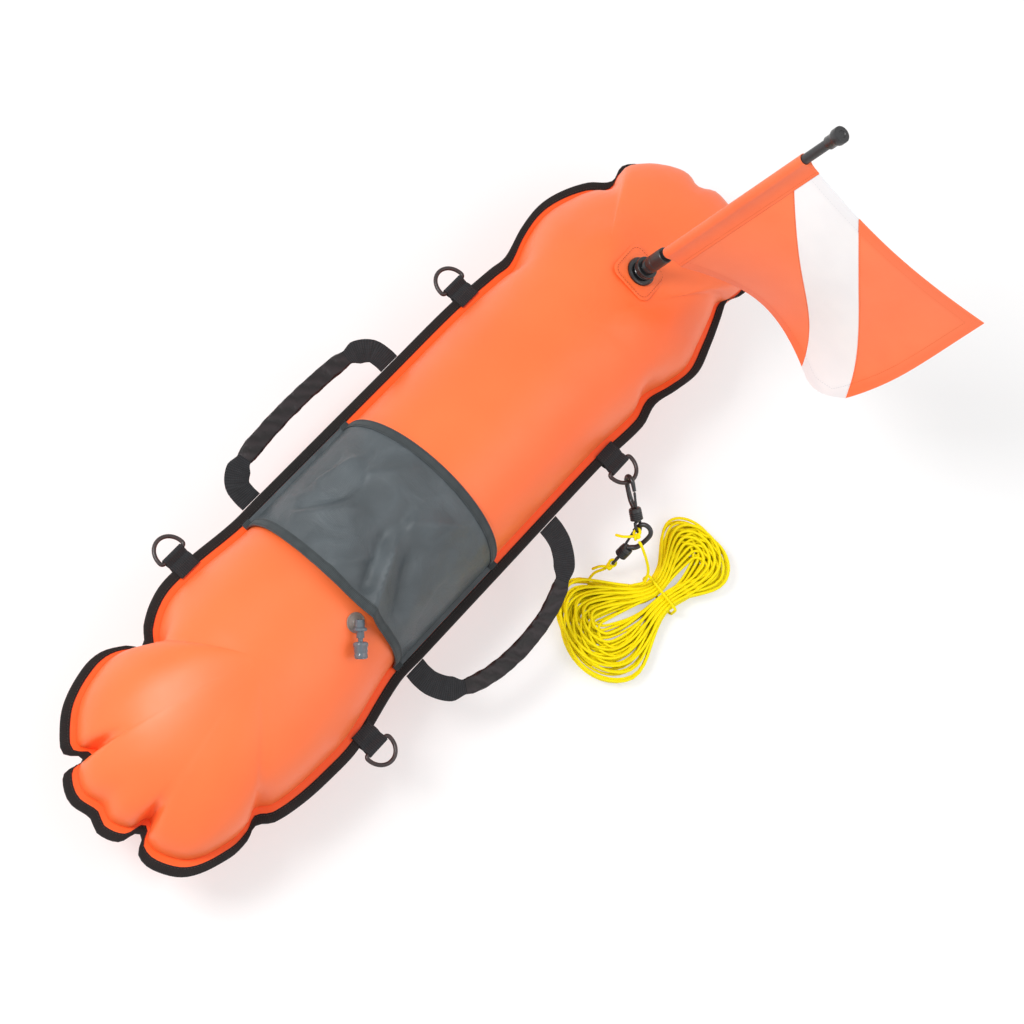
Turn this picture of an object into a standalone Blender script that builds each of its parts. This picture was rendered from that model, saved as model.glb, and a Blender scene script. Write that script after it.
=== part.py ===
"""An inflatable dive flag float: a welded float body with a cargo pocket, handles, D-rings,
an inflation valve, a flag on a plug-in pole, and a hank of line with two snap hooks.

Metres. +X towards the nose, +Y to the left side, +Z up. The origin is the middle of the
flat strip that the float rests on.
"""
import math

import bmesh
import bpy
import numpy as np
from mathutils import Matrix, Vector
from mathutils.bvhtree import BVHTree

GAP = 0.0003
AXIS_RADIUS = 0.0002
X_AXIS = Vector((1, 0, 0))
Y_AXIS = Vector((0, 1, 0))
Z_AXIS = Vector((0, 0, 1))

# Float body
BODY_LENGTH = 0.950
MID_WIDTH = 0.228
TUBE_HEIGHT = 0.186
REST_DEPTH = 0.003
TAIL_TAPER = 0.205
NOSE_TAPER = 0.259
NOSE_AHEAD_SHARE = 0.07
NOSE_SWELL = 0.11
FLANGE_WIDTH = 0.017
FLANGE_THICKNESS = 0.0008
SKIN_WALL = 0.0008
BINDING_WIDTH = 0.010
BINDING_THICKNESS = 0.001
STATION_SPACING = 0.026
SKIN_ANGLES = (0, 20, 42, 63, 80)
# The flange's outer edge, from the left middle to the tail, the right side and the nose,
# as shares of half the length and half the width at the middle; the nose is the longer end.
OUTLINE_SHARES = (
    (0.00, 1.00), (-0.20, 1.00), (-0.275, 1.00), (-0.40, 1.05), (-0.47, 1.055), (-0.52, 1.00), (-0.56, 0.91),
    (-0.592, 0.80), (-0.615, 0.90), (-0.66, 1.01), (-0.71, 1.02), (-0.79, 0.92), (-0.845, 0.74), (-0.861, 0.63),
    (-0.842, 0.49), (-0.888, 0.515), (-0.914, 0.41), (-0.924, 0.29), (-0.918, 0.10), (-0.93, -0.02),
    (-0.914, -0.20), (-0.873, -0.285), (-0.905, -0.39), (-0.907, -0.56), (-0.87, -0.81),
    (-0.785, -0.96), (-0.735, -0.97), (-0.702, -0.935), (-0.67, -1.03), (-0.60, -1.10), (-0.52, -1.13),
    (-0.44, -1.13), (-0.275, -1.00), (-0.20, -1.00), (0.05, -1.00), (0.40, -1.00), (0.53, -1.03),
    (0.59, -0.978), (0.65, -1.03), (0.72, -1.065), (0.79, -0.98), (0.86, -0.87), (0.900, -0.81),
    (0.93, -0.865), (0.965, -0.87), (1.00, -0.76), (1.035, -0.52), (1.06, -0.25), (1.066, -0.03),
    (1.050, 0.12), (1.052, 0.27), (1.035, 0.45), (1.00, 0.66), (0.965, 0.77), (0.920, 0.74), (0.875, 0.89),
    (0.81, 1.01), (0.75, 1.06), (0.68, 1.03), (0.60, 0.945), (0.555, 0.965), (0.42, 1.00), (0.21, 1.00),
)
# Where the seam is drawn in, as the same shares, and how far each crease runs in.
PUCKER_SHARES = ((-0.592, 0.80), (-0.842, 0.49), (-0.873, -0.285), (-0.702, -0.935),
                 (0.59, -0.978), (0.900, -0.81), (1.050, 0.12), (0.920, 0.74), (0.60, 0.945))
PUCKER_DEPTH_SHARE = 0.30
PUCKER_WIDTH = 0.016
PUCKER_REACH_SHARE = 0.38

# Cargo pocket
POCKET_MOUTH_X = -0.125
POCKET_MOUTH_BOW = 0.012
POCKET_CLOSED_X = 0.029
POCKET_GAPE = 0.012
POCKET_CLOTH = 0.0008
HEM_WIDTH = 0.009
HEM_THICKNESS = 0.0007
POCKET_COLUMNS = 26
POCKET_ROWS = 9

# Inflation valve
VALVE_X = -0.144
VALVE_Y = -0.043
VALVE_AIM = Vector((-0.66, -0.71, -0.245))
VALVE_FLANGE_RADIUS = 0.010
VALVE_FLANGE_THICKNESS = 0.0010
VALVE_STEM_RADIUS = 0.0045
VALVE_STEM_BORE = 0.0027
VALVE_RING_RADIUS = 0.0066
VALVE_STEM_LENGTH = 0.0175
VALVE_STEM_START = -0.003
VALVE_MOUTH_RADIUS = 0.0065
VALVE_MOUTH_LENGTH = 0.0165
VALVE_TRAVEL = 0.003
VALVE_HEIGHT = 0.0086
VALVE_BOSS_RADIUS = 0.0034
VALVE_POPPET_THICKNESS = 0.0012
VALVE_AIR_RADIUS = 0.0011

# Flag and its pole
SOCKET_FROM_NOSE = 0.17425
SOCKET_Y = -0.007
POLE_BARE = 0.036
POLE_RADIUS = 0.005
POLE_LEAN_NOSE = math.radians(14)
POLE_LEAN_RIGHT = math.radians(9.9)
PATCH_SIZE = 0.050
PATCH_THICKNESS = 0.0008
PATCH_CORNER = 0.009
DENT_FLAT = 0.034
DENT_BLEND = 0.045
SOCKET_FLANGE_RADIUS = 0.0155
SOCKET_FLANGE_THICKNESS = 0.004
SOCKET_WAIST_RADIUS = 0.0095
SOCKET_NECK_RADIUS = 0.008
SOCKET_HEIGHT = 0.021
SOCKET_FLOOR = 0.003
RING_RADIUS = 0.012
RING_START = 0.009
RING_HEIGHT = 0.006
FOOT_RADIUS = 0.0085
FOOT_LENGTH = 0.026
TIP_RADIUS = 0.0085
TIP_LENGTH = 0.020
TIP_WALL = 0.0013
TIP_GRIP = 0.012
FLAG_START = 0.051
FLAG_HOIST = 0.226
FLAG_FLY = 0.238
FLAG_TURN = math.radians(6)
FLAG_CLOTH = 0.0008
FLAG_BELLY = 0.043
FLAG_TOP_SAG = 0.0064
FLAG_CORNER_LIFT = 0.020
SLEEVE_WIDTH = 0.025
SLEEVE_WALL = 0.0008
STRIPE_HOIST_SHARE = 0.83
STRIPE_BOTTOM_SHARE = 0.83
STRIPE_TOP_SHARE = 0.26
STRIPE_FLY_SHARE = 0.16

# Webbing, handles and D-rings
TAB_WIDTH = 0.025
TAB_THICKNESS = 0.0012
TAB_REACH = 0.011
TAB_OVERLAP = 0.012
RING_WIRE = 0.0022
DEE_WIDTH = 0.036
DEE_DEPTH = 0.025
DEE_CORNER = 0.003
LEFT_FRONT_X = 0.221
LEFT_REAR_X = -0.194
RIGHT_FRONT_X = 0.201
RIGHT_REAR_X = -0.194
HANDLE_HALF_SPAN = 0.104
LEFT_HANDLE_X = 0.004
RIGHT_HANDLE_X = -0.005
LEFT_REACH = 0.039
RIGHT_REACH = 0.069
RIGHT_DROOP = math.radians(20)
WEBBING_WIDTH = 0.025
WEBBING_THICKNESS = 0.002
HANDLE_OFFSET = 0.0013
HANDLE_NIB = 0.0009
GRIP_WIDTH = 0.0185
GRIP_THICKNESS = 0.0065
GRIP_WALL = 0.0014
GRIP_HALF_SPAN_SHARE = 0.74
LEFT_HANDLE_SHARES = ((-1.0, 0.0), (-1.0, 0.22), (-0.97, 0.55), (-0.84, 0.80), (-0.62, 0.92),
                      (-0.32, 0.98), (0.0, 1.0), (0.32, 0.98), (0.62, 0.92), (0.84, 0.80),
                      (0.97, 0.55), (1.0, 0.22), (1.0, 0.0))
RIGHT_HANDLE_SHARES = ((-1.0, 0.0), (-1.0, 0.15), (-0.97, 0.36), (-0.86, 0.62), (-0.66, 0.82),
                       (-0.34, 0.96), (0.0, 1.0), (0.34, 0.96), (0.66, 0.82), (0.86, 0.62),
                       (0.97, 0.36), (1.0, 0.15), (1.0, 0.0))

# Snap hooks
HOOK_LENGTH = 0.064
HOOK_WIRE = 0.0025
HOOK_BOW_RADIUS = 0.00775
HOOK_NOSE_DROP = 0.007
BARREL_RADIUS = 0.0068
BARREL_LENGTH = 0.013
BARREL_BORE = 0.0023
EYE_WIDTH = 0.016
EYE_DEPTH = 0.0145
EYE_WIRE = 0.0016
GATE_RADIUS = 0.0013
GATE_PIVOT_OUT = 0.0044
HOOK_1_AIM = Vector((-0.425, -0.790, -0.440))
HOOK_2_AIM = Vector((-0.600, 0.0, -0.800))
HOOK_1_HANG = 0.005

# Line
LINE_DIAMETER = 0.003
KNOT_RADIUS = 0.0046
HANK_LEFT_END = (0.045, -0.211)
HANK_WAIST = (0.160, -0.252)
HANK_RIGHT_END = (0.255, -0.250)
TURNS_PER_LAYER = 5
HANK_LAYERS = 4
POINTS_PER_LOOP = 24
HANK_FIRST_POINT = 4
HANK_LAST_POINT = 461
WAIST_STEP = 0.0035
WAIST_CORE = 0.0020
LEFT_FAN_HALF = 0.057
LEFT_FAN_CORE = 0.012
RIGHT_FAN_HALF = 0.038
RIGHT_FAN_CORE = 0.011
FAN_NEST_SHARE = 0.34
FAN_ROUND_SHARE = 0.80
ARC_SHARE = 0.25
WAIST_LAYER = 0.0038
FAN_LAYER = 0.0050
WAIST_LIFT = 0.0042
WAIST_LIFT_LENGTH = 0.045
TIE_CLEARANCE = 0.0009
KNOT_1_ASIDE = 0.0088
KNOT_1_BEYOND = 0.0013
LEAD_1_AIM = (-0.20, -0.95, -0.25)
LEAD_1_RISE = 0.0045
LEAD_1_ROUTE = ((0.160, -0.217, 0.052), (0.158, -0.226, 0.038), (0.152, -0.230, 0.027))
LEAD_2_AIM = (-0.55, 0.30, -0.75)
LEAD_2_ROUTE = ((0.128, -0.186, 0.0095), (0.1185, -0.187, 0.0055))

SEAM_HEIGHT = TUBE_HEIGHT / 2 - REST_DEPTH
HALF_LENGTH = BODY_LENGTH / 2
HALF_WIDTH = MID_WIDTH / 2
SPINE_TAIL = TAIL_TAPER - HALF_LENGTH * (1 - NOSE_AHEAD_SHARE)
SPINE_NOSE = HALF_LENGTH * (1 + NOSE_AHEAD_SHARE) - NOSE_TAPER
SOCKET_X = HALF_LENGTH * (1 + NOSE_AHEAD_SHARE) - SOCKET_FROM_NOSE
POLE_LENGTH = FLAG_START + FLAG_HOIST + POLE_BARE + TIP_LENGTH
FLANGE_TOP = GAP / 2 + FLANGE_THICKNESS
BINDING_INNER = FLANGE_TOP + GAP
BINDING_OUTER = BINDING_INNER + BINDING_THICKNESS


def linear(value):
    """One sRGB channel, 0 to 1, as linear light."""
    return value / 12.92 if value <= 0.04045 else ((value + 0.055) / 1.055) ** 2.4


def finish(name, colour, roughness, metallic=0.0):
    """A plain surface of one colour, given as an sRGB hex number."""
    channels = [linear((colour >> shift & 255) / 255) for shift in (16, 8, 0)]
    made = bpy.data.materials.new(name)
    made.use_nodes = True
    shader = made.node_tree.nodes["Principled BSDF"]
    shader.inputs["Base Color"].default_value = (*channels, 1.0)
    shader.inputs["Roughness"].default_value = roughness
    shader.inputs["Metallic"].default_value = metallic
    made.diffuse_color = (*channels, 1.0)
    return made


def add_piece(name, points, faces, material, crease=40):
    """A mesh object in world space, with its faces turned outwards."""
    mesh = bpy.data.meshes.new(name)
    mesh.from_pydata([tuple(p) for p in points], [], faces)
    worker = bmesh.new()
    worker.from_mesh(mesh)
    bmesh.ops.recalc_face_normals(worker, faces=worker.faces)
    worker.to_mesh(mesh)
    worker.free()
    mesh.shade_smooth()
    mesh.set_sharp_from_angle(angle=math.radians(crease))
    mesh.materials.append(material)
    made = bpy.data.objects.new(name, mesh)
    bpy.context.scene.collection.objects.link(made)
    return made


def loft(rings, closed=False):
    """Points and faces of a skin over rings of equal count, capped unless it closes on itself."""
    count = len(rings[0])
    points = [p for ring in rings for p in ring]
    faces = []
    last = len(rings) if closed else len(rings) - 1
    for row in range(last):
        here = row * count
        there = (row + 1) % len(rings) * count
        for i in range(count):
            j = (i + 1) % count
            faces.append((here + i, here + j, there + j, there + i))
    if not closed:
        faces.append(tuple(range(count)))
        faces.append(tuple(range(len(points) - count, len(points))))
    return points, faces


def circle(centre, side, up, radius, count):
    """A ring of points round a centre, in the plane of two unit vectors."""
    turns = [2 * math.pi * i / count for i in range(count)]
    return [centre + side * radius * math.cos(t) + up * radius * math.sin(t) for t in turns]


def placed(origin, axis, hint):
    """A matrix whose Z runs along axis and whose X leans towards hint."""
    z = axis.normalized()
    x = (hint - z * hint.dot(z)).normalized()
    y = z.cross(x)
    return Matrix((
        (x.x, y.x, z.x, origin.x),
        (x.y, y.y, z.y, origin.y),
        (x.z, y.z, z.z, origin.z),
        (0, 0, 0, 1),
    ))


def turned(profile, place, count, closed=False):
    """A solid of revolution about the Z axis of a matrix, from (radius, height) pairs."""
    rings = [circle(Vector((0, 0, h)), X_AXIS, Y_AXIS, r, count) for r, h in profile]
    points, faces = loft(rings, closed)
    return [place @ p for p in points], faces


def swept(path, radii, count, closed=False, flat=None):
    """A round bar along a path, with a radius for each point."""
    rings = []
    total = len(path)
    side = None
    for i, point in enumerate(path):
        before = path[(i - 1) % total] if closed or i > 0 else point
        after = path[(i + 1) % total] if closed or i < total - 1 else point
        heading = (after - before).normalized()
        if flat is not None:
            side = flat.cross(heading).normalized()
        elif side is None:
            side = heading.orthogonal().normalized()
        else:
            side = (side - heading * side.dot(heading)).normalized()
        rings.append(circle(point, side, heading.cross(side), radii[i], count))
    return loft(rings, closed)


def smooth_closed(points, spacing):
    """A closed outline through points, with more of them on bent spans over a spacing."""
    total = len(points)
    result = []
    for i in range(total):
        a, b = points[i], points[(i + 1) % total]
        span = (b - a).length
        leave = (b - points[i - 1]).normalized() * span
        arrive = (points[(i + 2) % total] - a).normalized() * span
        bend = (leave - arrive).length + (leave - b + a).length
        extra = 0 if bend < GAP / 100 else min(int(span / spacing), 2)
        for step in range(extra + 1):
            result.append(hermite(a, b, leave, arrive, step / (extra + 1)))
    return result


def hermite(a, b, leave, arrive, share):
    """A point on the curve from a to b with the given end tangents."""
    s2, s3 = share ** 2, share ** 3
    return (a * (2 * s3 - 3 * s2 + 1) + leave * (s3 - 2 * s2 + share)
            + b * (3 * s2 - 2 * s3) + arrive * (s3 - s2))


def smooth_open(points, spacing):
    """A smooth open curve through points, with points about a spacing apart."""
    dense = []
    last = len(points) - 1
    for i in range(last):
        a, b = points[i], points[i + 1]
        span = (b - a).length
        leave = (b - points[max(i - 1, 0)]).normalized() * span
        arrive = (points[min(i + 2, last)] - a).normalized() * span
        dense += [hermite(a, b, leave, arrive, step / 12) for step in range(12)]
    dense.append(points[last])
    lengths = np.cumsum([0] + [(b - a).length for a, b in zip(dense, dense[1:])])
    count = max(2, round(lengths[-1] / spacing) + 1)
    wanted = np.linspace(0, lengths[-1], count)
    table = np.array([tuple(p) for p in dense])
    columns = [np.interp(wanted, lengths, table[:, k]) for k in range(3)]
    return [Vector(p) for p in zip(*columns)]


def ease(share):
    """A smooth step from 0 to 1."""
    share = min(max(share, 0.0), 1.0)
    return share * share * (3 - 2 * share)


def fuse(base, others):
    """The union of solids, kept in the first one."""
    for other in others:
        cut = base.modifiers.new("union", "BOOLEAN")
        cut.operation = "UNION"
        cut.object = other
    graph = bpy.context.evaluated_depsgraph_get()
    joined = bpy.data.meshes.new_from_object(base.evaluated_get(graph))
    base.modifiers.clear()
    base.data = joined
    for other in others:
        bpy.data.objects.remove(other)
    return base


def line_piece(name, points, material, resolution):
    """A line as a round curve with closed ends."""
    curve = bpy.data.curves.new(name, "CURVE")
    curve.dimensions = "3D"
    curve.bevel_depth = LINE_DIAMETER / 2
    curve.bevel_resolution = resolution
    curve.use_fill_caps = True
    spline = curve.splines.new("POLY")
    spline.points.add(len(points) - 1)
    for target, p in zip(spline.points, points):
        target.co = (*p, 1.0)
    curve.materials.append(material)
    made = bpy.data.objects.new(name, curve)
    bpy.context.scene.collection.objects.link(made)
    return made


# The float's skin

def outline():
    """The outer edge of the flange in plan, with the binding's thickness outside it."""
    corners = [Vector((x * HALF_LENGTH, y * HALF_WIDTH, 0)) for x, y in OUTLINE_SHARES]
    return smooth_closed(corners, STATION_SPACING)


def spine_point(p):
    """The nearest point of the tube's middle line."""
    return Vector((min(max(p.x, SPINE_TAIL), SPINE_NOSE), 0, 0))


def pucker_at(p):
    """How strongly the seam is drawn in at a point of the outline, 0 to 1."""
    strength = 0.0
    for x, y in PUCKER_SHARES:
        away = (p - Vector((x * HALF_LENGTH, y * HALF_WIDTH, 0))).length
        strength = max(strength, math.exp(-(away / PUCKER_WIDTH) ** 2))
    return strength


def skin_height(angle, pucker, height):
    """Height of the skin above the seam at a seam angle."""
    reach = math.cos(math.radians(angle))
    near_seam = (reach - 1 + PUCKER_REACH_SHARE) / PUCKER_REACH_SHARE
    crease = PUCKER_DEPTH_SHARE * pucker * ease(near_seam)
    return height * math.sin(math.radians(angle)) * (1 - crease)


def skin_ring(edge, angle, wall, side):
    """One ring of the skin's surface; wall is how far it lies inside the outer face."""
    ring = []
    floor = wall - SEAM_HEIGHT
    for p in edge:
        spine = spine_point(p)
        ray = spine - p
        seam = p + ray.normalized() * (FLANGE_WIDTH + wall)
        swell = NOSE_SWELL * ease((p.x - SPINE_NOSE) / NOSE_TAPER * 2 - 1)
        reach = math.cos(math.radians(angle)) + swell * max(math.sin(math.radians(3 * angle)), 0)
        q = spine + (seam - spine) * reach
        rise = max(skin_height(angle, pucker_at(p), TUBE_HEIGHT / 2 - wall), FLANGE_TOP)
        if wall > 0 and angle == 0:
            rise = GAP / 2
        height = rise if side > 0 else max(-rise, floor)
        ring.append(Vector((q.x, q.y, SEAM_HEIGHT + height)))
    return ring


def flange_edge(edge, height):
    """The flange's own edge, just inside the binding."""
    inset = BINDING_THICKNESS + GAP
    return [Vector((q.x, q.y, SEAM_HEIGHT + height))
            for q in (p + (spine_point(p) - p).normalized() * inset for p in edge)]


def skin_tree(edge):
    """The upper skin before the pole's patch pulls on it, for laying pieces on."""
    rings = [skin_ring(edge, angle, 0, 1) for angle in range(0, 88, 3)]
    points, faces = loft(rings, False)
    return BVHTree.FromPolygons([tuple(p) for p in points], faces[:-2] + [faces[-1]])


def skin_point(tree, x, y):
    """The point of the skin above or below a plan position, and its normal."""
    top = SEAM_HEIGHT + TUBE_HEIGHT
    place, normal, _, _ = tree.ray_cast(Vector((x, y, top)), -Z_AXIS)
    return place, normal if normal.z > 0 else -normal


def pole_axis():
    """The pole's direction."""
    return Vector((math.tan(POLE_LEAN_NOSE), -math.tan(POLE_LEAN_RIGHT), 1)).normalized()


def dented(points, seat, axis, wall):
    """Points of the upper skin, drawn to the plane of the pole's patch near the seat."""
    result = []
    for p in points:
        away = math.hypot(p.x - seat.x, p.y - seat.y)
        weight = 1 - ease((away - DENT_FLAT) / DENT_BLEND)
        if p.z < SEAM_HEIGHT + TUBE_HEIGHT / 4:
            weight = 0
        plane = seat.z - ((p.x - seat.x) * axis.x + (p.y - seat.y) * axis.y) / axis.z
        plane = min(plane, SEAM_HEIGHT + TUBE_HEIGHT / 2)
        result.append(Vector((p.x, p.y, p.z + weight * (plane - wall - p.z))))
    return result


def body_panels(edge, seat, axis, material):
    """The two skins, each a shell with its half of the flange."""
    for name, side in (("upper_panel", 1), ("lower_panel", -1)):
        outer = [flange_edge(edge, side * FLANGE_TOP)]
        outer += [skin_ring(edge, angle, 0, side) for angle in SKIN_ANGLES]
        inner = [flange_edge(edge, side * GAP / 2)]
        inner += [skin_ring(edge, angle, SKIN_WALL, side) for angle in SKIN_ANGLES]
        if side < 0:
            inner[1] = [Vector((p.x, p.y, SEAM_HEIGHT - GAP / 2)) for p in inner[1]]
        if side > 0:
            outer = [dented(ring, seat, axis, 0) for ring in outer[:-1]] + outer[-1:]
            inner = [dented(ring, seat, axis, SKIN_WALL) for ring in inner[:-1]] + inner[-1:]
        points, faces = loft(inner[::-1] + outer)
        add_piece(name, points, faces, material)


def edge_binding(edge, material):
    """The tape folded over the flange."""
    section = (
        (BINDING_WIDTH, BINDING_OUTER), (0, BINDING_OUTER), (0, -BINDING_OUTER),
        (BINDING_WIDTH, -BINDING_OUTER), (BINDING_WIDTH, -BINDING_INNER),
        (BINDING_THICKNESS, -BINDING_INNER), (BINDING_THICKNESS, BINDING_INNER),
        (BINDING_WIDTH, BINDING_INNER),
    )
    rings = []
    for p in edge:
        inward = (spine_point(p) - p).normalized()
        rings.append([p + inward * inset + Z_AXIS * (SEAM_HEIGHT + height)
                      for inset, height in section])
    points, faces = loft(rings, True)
    add_piece("edge_binding", points, faces, material)


# Cargo pocket

def pocket_stand(share, across):
    """How far the pocket's cloth stands off the skin, along its length and across it."""
    mouth = 1 - ease(share)
    return GAP + HEM_THICKNESS + POCKET_GAPE * mouth * across ** 2


def pocket_place(share, angle, lift):
    """A point over the tube at a share from mouth to closed edge and a seam angle."""
    across = max(math.sin(angle), 0)
    mouth_x = POCKET_MOUTH_X - POCKET_MOUTH_BOW * across ** 2
    x = mouth_x + (POCKET_CLOSED_X - mouth_x) * share
    stand = pocket_stand(share, across) + lift
    half = HALF_WIDTH - FLANGE_WIDTH + stand
    rise = (TUBE_HEIGHT / 2 + stand) * math.sin(angle)
    low = FLANGE_TOP + GAP
    return Vector((x, half * math.cos(angle), SEAM_HEIGHT + max(rise, low)))


def pocket_sheet(name, shares, lift, thickness, material):
    """A strip of cloth over the tube from seam to seam, between two shares of the pocket."""
    rows = []
    for layer in (0, thickness):
        for share in shares if layer == 0 else shares[::-1]:
            rows.append([
                pocket_place(share, math.pi * j / POCKET_COLUMNS, lift + layer)
                for j in range(POCKET_COLUMNS + 1)
            ])
    columns = [[row[j] for row in rows] for j in range(POCKET_COLUMNS + 1)]
    on_flange = FLANGE_WIDTH - BINDING_WIDTH - GAP * 2 - HEM_THICKNESS
    columns.insert(0, [p + Y_AXIS * on_flange for p in columns[0]])
    columns.append([p - Y_AXIS * on_flange for p in columns[-1]])
    points, faces = loft(columns)
    return add_piece(name, points, faces, material)


def cargo_pocket(cloth, tape):
    """The pocket's cloth and the tapes on its two edges."""
    shares = [i / POCKET_ROWS for i in range(POCKET_ROWS + 1)]
    pocket_sheet("pocket_panel", shares, 0, POCKET_CLOTH, cloth)
    hem_share = HEM_WIDTH / (POCKET_CLOSED_X - POCKET_MOUTH_X)
    over = POCKET_CLOTH + GAP
    pocket_sheet("pocket_hem_mouth", [0, hem_share], over, HEM_THICKNESS, tape)
    pocket_sheet("pocket_hem_closed", [1 - hem_share, 1], over, HEM_THICKNESS, tape)


# Inflation valve

def inflation_valve(tree, rubber, clear):
    """The valve lies along the skin, its foot under the pocket's mouth."""
    foot, normal = skin_point(tree, VALVE_X, VALVE_Y)
    level = placed(foot + normal * GAP * 2, normal, X_AXIS)
    boss = VALVE_HEIGHT - VALVE_STEM_RADIUS - 4 * GAP
    disc = [
        (VALVE_FLANGE_RADIUS, 0), (VALVE_FLANGE_RADIUS, VALVE_FLANGE_THICKNESS),
        (VALVE_BOSS_RADIUS * 1.1, VALVE_FLANGE_THICKNESS), (VALVE_BOSS_RADIUS, boss),
    ]
    points, faces = turned(disc, level, 20)
    add_piece("valve_flange", points, faces, rubber)
    aim = VALVE_AIM.normalized()
    start = foot + normal * VALVE_HEIGHT + aim * VALVE_STEM_START
    place = placed(start, aim, normal)
    bore = VALVE_STEM_BORE
    body = VALVE_STEM_RADIUS
    ring = VALVE_RING_RADIUS
    length = VALVE_STEM_LENGTH
    stem = [
        (bore, 0), (body, 0), (body, length * 0.42), (ring, length * 0.46),
        (ring, length * 0.62), (body * 0.85, length * 0.66), (body * 0.85, length),
        (bore, length),
    ]
    points, faces = turned(stem, place, 16, True)
    add_piece("valve_stem", points, faces, clear)
    inner = bore - GAP
    reach = -length + VALVE_POPPET_THICKNESS * 2
    tail = [(VALVE_AIR_RADIUS, 0), (VALVE_AIR_RADIUS, VALVE_MOUTH_LENGTH)]
    mouth = VALVE_MOUTH_RADIUS
    barrel = [
        (mouth * 0.80, VALVE_MOUTH_LENGTH), (mouth, VALVE_MOUTH_LENGTH * 0.90),
        (mouth, VALVE_MOUTH_LENGTH * 0.35), (mouth * 1.12, VALVE_MOUTH_LENGTH * 0.22),
        (mouth * 1.12, VALVE_MOUTH_LENGTH * 0.10), (mouth * 0.8, 0), (inner, 0), (inner, reach),
        (VALVE_AIR_RADIUS, reach),
    ]
    at_rest = place @ Matrix.Translation((0, 0, length + VALVE_TRAVEL + GAP))
    points, faces = turned(tail[::-1][:1] + barrel, at_rest, 16, True)
    add_piece("valve_mouthpiece", points, faces, clear)
    seat = place @ Matrix.Translation((0, 0, VALVE_TRAVEL + GAP))
    top = VALVE_POPPET_THICKNESS * 2 - GAP
    stopper = [(inner, 0), (inner, top)]
    points, faces = turned(stopper, seat, 12)
    add_piece("valve_poppet", points, faces, rubber)


# Flag

def flag_pole_pieces(seat, axis, patch_material, plastic, rod_material):
    """The patch, the socket and the pole with its collar and cap."""
    base = placed(seat, axis, X_AXIS)
    half = PATCH_SIZE / 2
    ring = []
    for sx, sy, first in ((1, 1, 0), (-1, 1, 90), (-1, -1, 180), (1, -1, 270)):
        for step in range(4):
            turn = math.radians(first + step * 30)
            ring.append(Vector((
                sx * (half - PATCH_CORNER) + PATCH_CORNER * math.cos(turn),
                sy * (half - PATCH_CORNER) + PATCH_CORNER * math.sin(turn), 0)))
    low = 2 * GAP
    top = low + PATCH_THICKNESS
    points, faces = loft([[base @ (p + Z_AXIS * h) for p in ring] for h in (low, top)])
    add_piece("flag_patch", points, faces, patch_material)

    bore = POLE_RADIUS + GAP
    start = top + GAP
    flange = SOCKET_FLANGE_THICKNESS
    socket = [
        (SOCKET_FLANGE_RADIUS, start), (SOCKET_FLANGE_RADIUS, start + flange * 0.5),
        (SOCKET_FLANGE_RADIUS * 0.88, start + flange), (SOCKET_WAIST_RADIUS, start + flange * 1.2),
        (SOCKET_WAIST_RADIUS, RING_START - GAP), (SOCKET_NECK_RADIUS, RING_START - GAP),
        (SOCKET_NECK_RADIUS, SOCKET_HEIGHT), (bore, SOCKET_HEIGHT), (bore, SOCKET_FLOOR),
    ]
    points, faces = turned(socket, base, 24)
    add_piece("socket_base", points, faces, plastic)
    inner = SOCKET_NECK_RADIUS + GAP
    collar = [
        (inner, RING_START), (RING_RADIUS * 0.93, RING_START),
        (RING_RADIUS, RING_START + RING_HEIGHT * 0.25),
        (RING_RADIUS, RING_START + RING_HEIGHT * 0.75),
        (RING_RADIUS * 0.93, RING_START + RING_HEIGHT), (inner, RING_START + RING_HEIGHT),
    ]
    points, faces = turned(collar, base, 24, True)
    add_piece("socket_ring", points, faces, plastic)
    low = SOCKET_HEIGHT + GAP
    foot = [
        (bore, low), (FOOT_RADIUS * 0.92, low), (FOOT_RADIUS, low + FOOT_LENGTH * 0.08),
        (FOOT_RADIUS, low + FOOT_LENGTH * 0.92), (FOOT_RADIUS * 0.92, low + FOOT_LENGTH),
        (bore, low + FOOT_LENGTH),
    ]
    points, faces = turned(foot, base, 20, True)
    add_piece("pole_foot", points, faces, plastic)
    rod_top = POLE_LENGTH - TIP_LENGTH + TIP_GRIP
    rod = [(POLE_RADIUS, SOCKET_FLOOR + GAP), (POLE_RADIUS, rod_top)]
    points, faces = turned(rod, base, 16)
    add_piece("flag_pole", points, faces, rod_material)
    cap_low = POLE_LENGTH - TIP_LENGTH
    neck = bore + TIP_WALL
    cap = [
        (neck, cap_low), (neck, cap_low + TIP_LENGTH * 0.35),
        (TIP_RADIUS, cap_low + TIP_LENGTH * 0.62), (TIP_RADIUS, POLE_LENGTH - TIP_LENGTH * 0.06),
        (TIP_RADIUS * 0.86, POLE_LENGTH), (AXIS_RADIUS, POLE_LENGTH),
    ]
    hollow = [(AXIS_RADIUS, rod_top + GAP), (bore, rod_top + GAP), (bore, cap_low)]
    points, faces = turned(cap + hollow, base, 20, True)
    add_piece("pole_tip", points, faces, plastic)


def fly_direction(axis):
    """The way the flag flies: square to the pole and out to the right."""
    straight = (-Y_AXIS - axis * (-Y_AXIS).dot(axis)).normalized()
    return Matrix.Rotation(FLAG_TURN, 3, axis) @ straight


def sleeve_reach():
    """How far the sleeve's stitched edge lies from the pole's middle line."""
    return SLEEVE_WIDTH - POLE_RADIUS - GAP - SLEEVE_WALL


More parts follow.
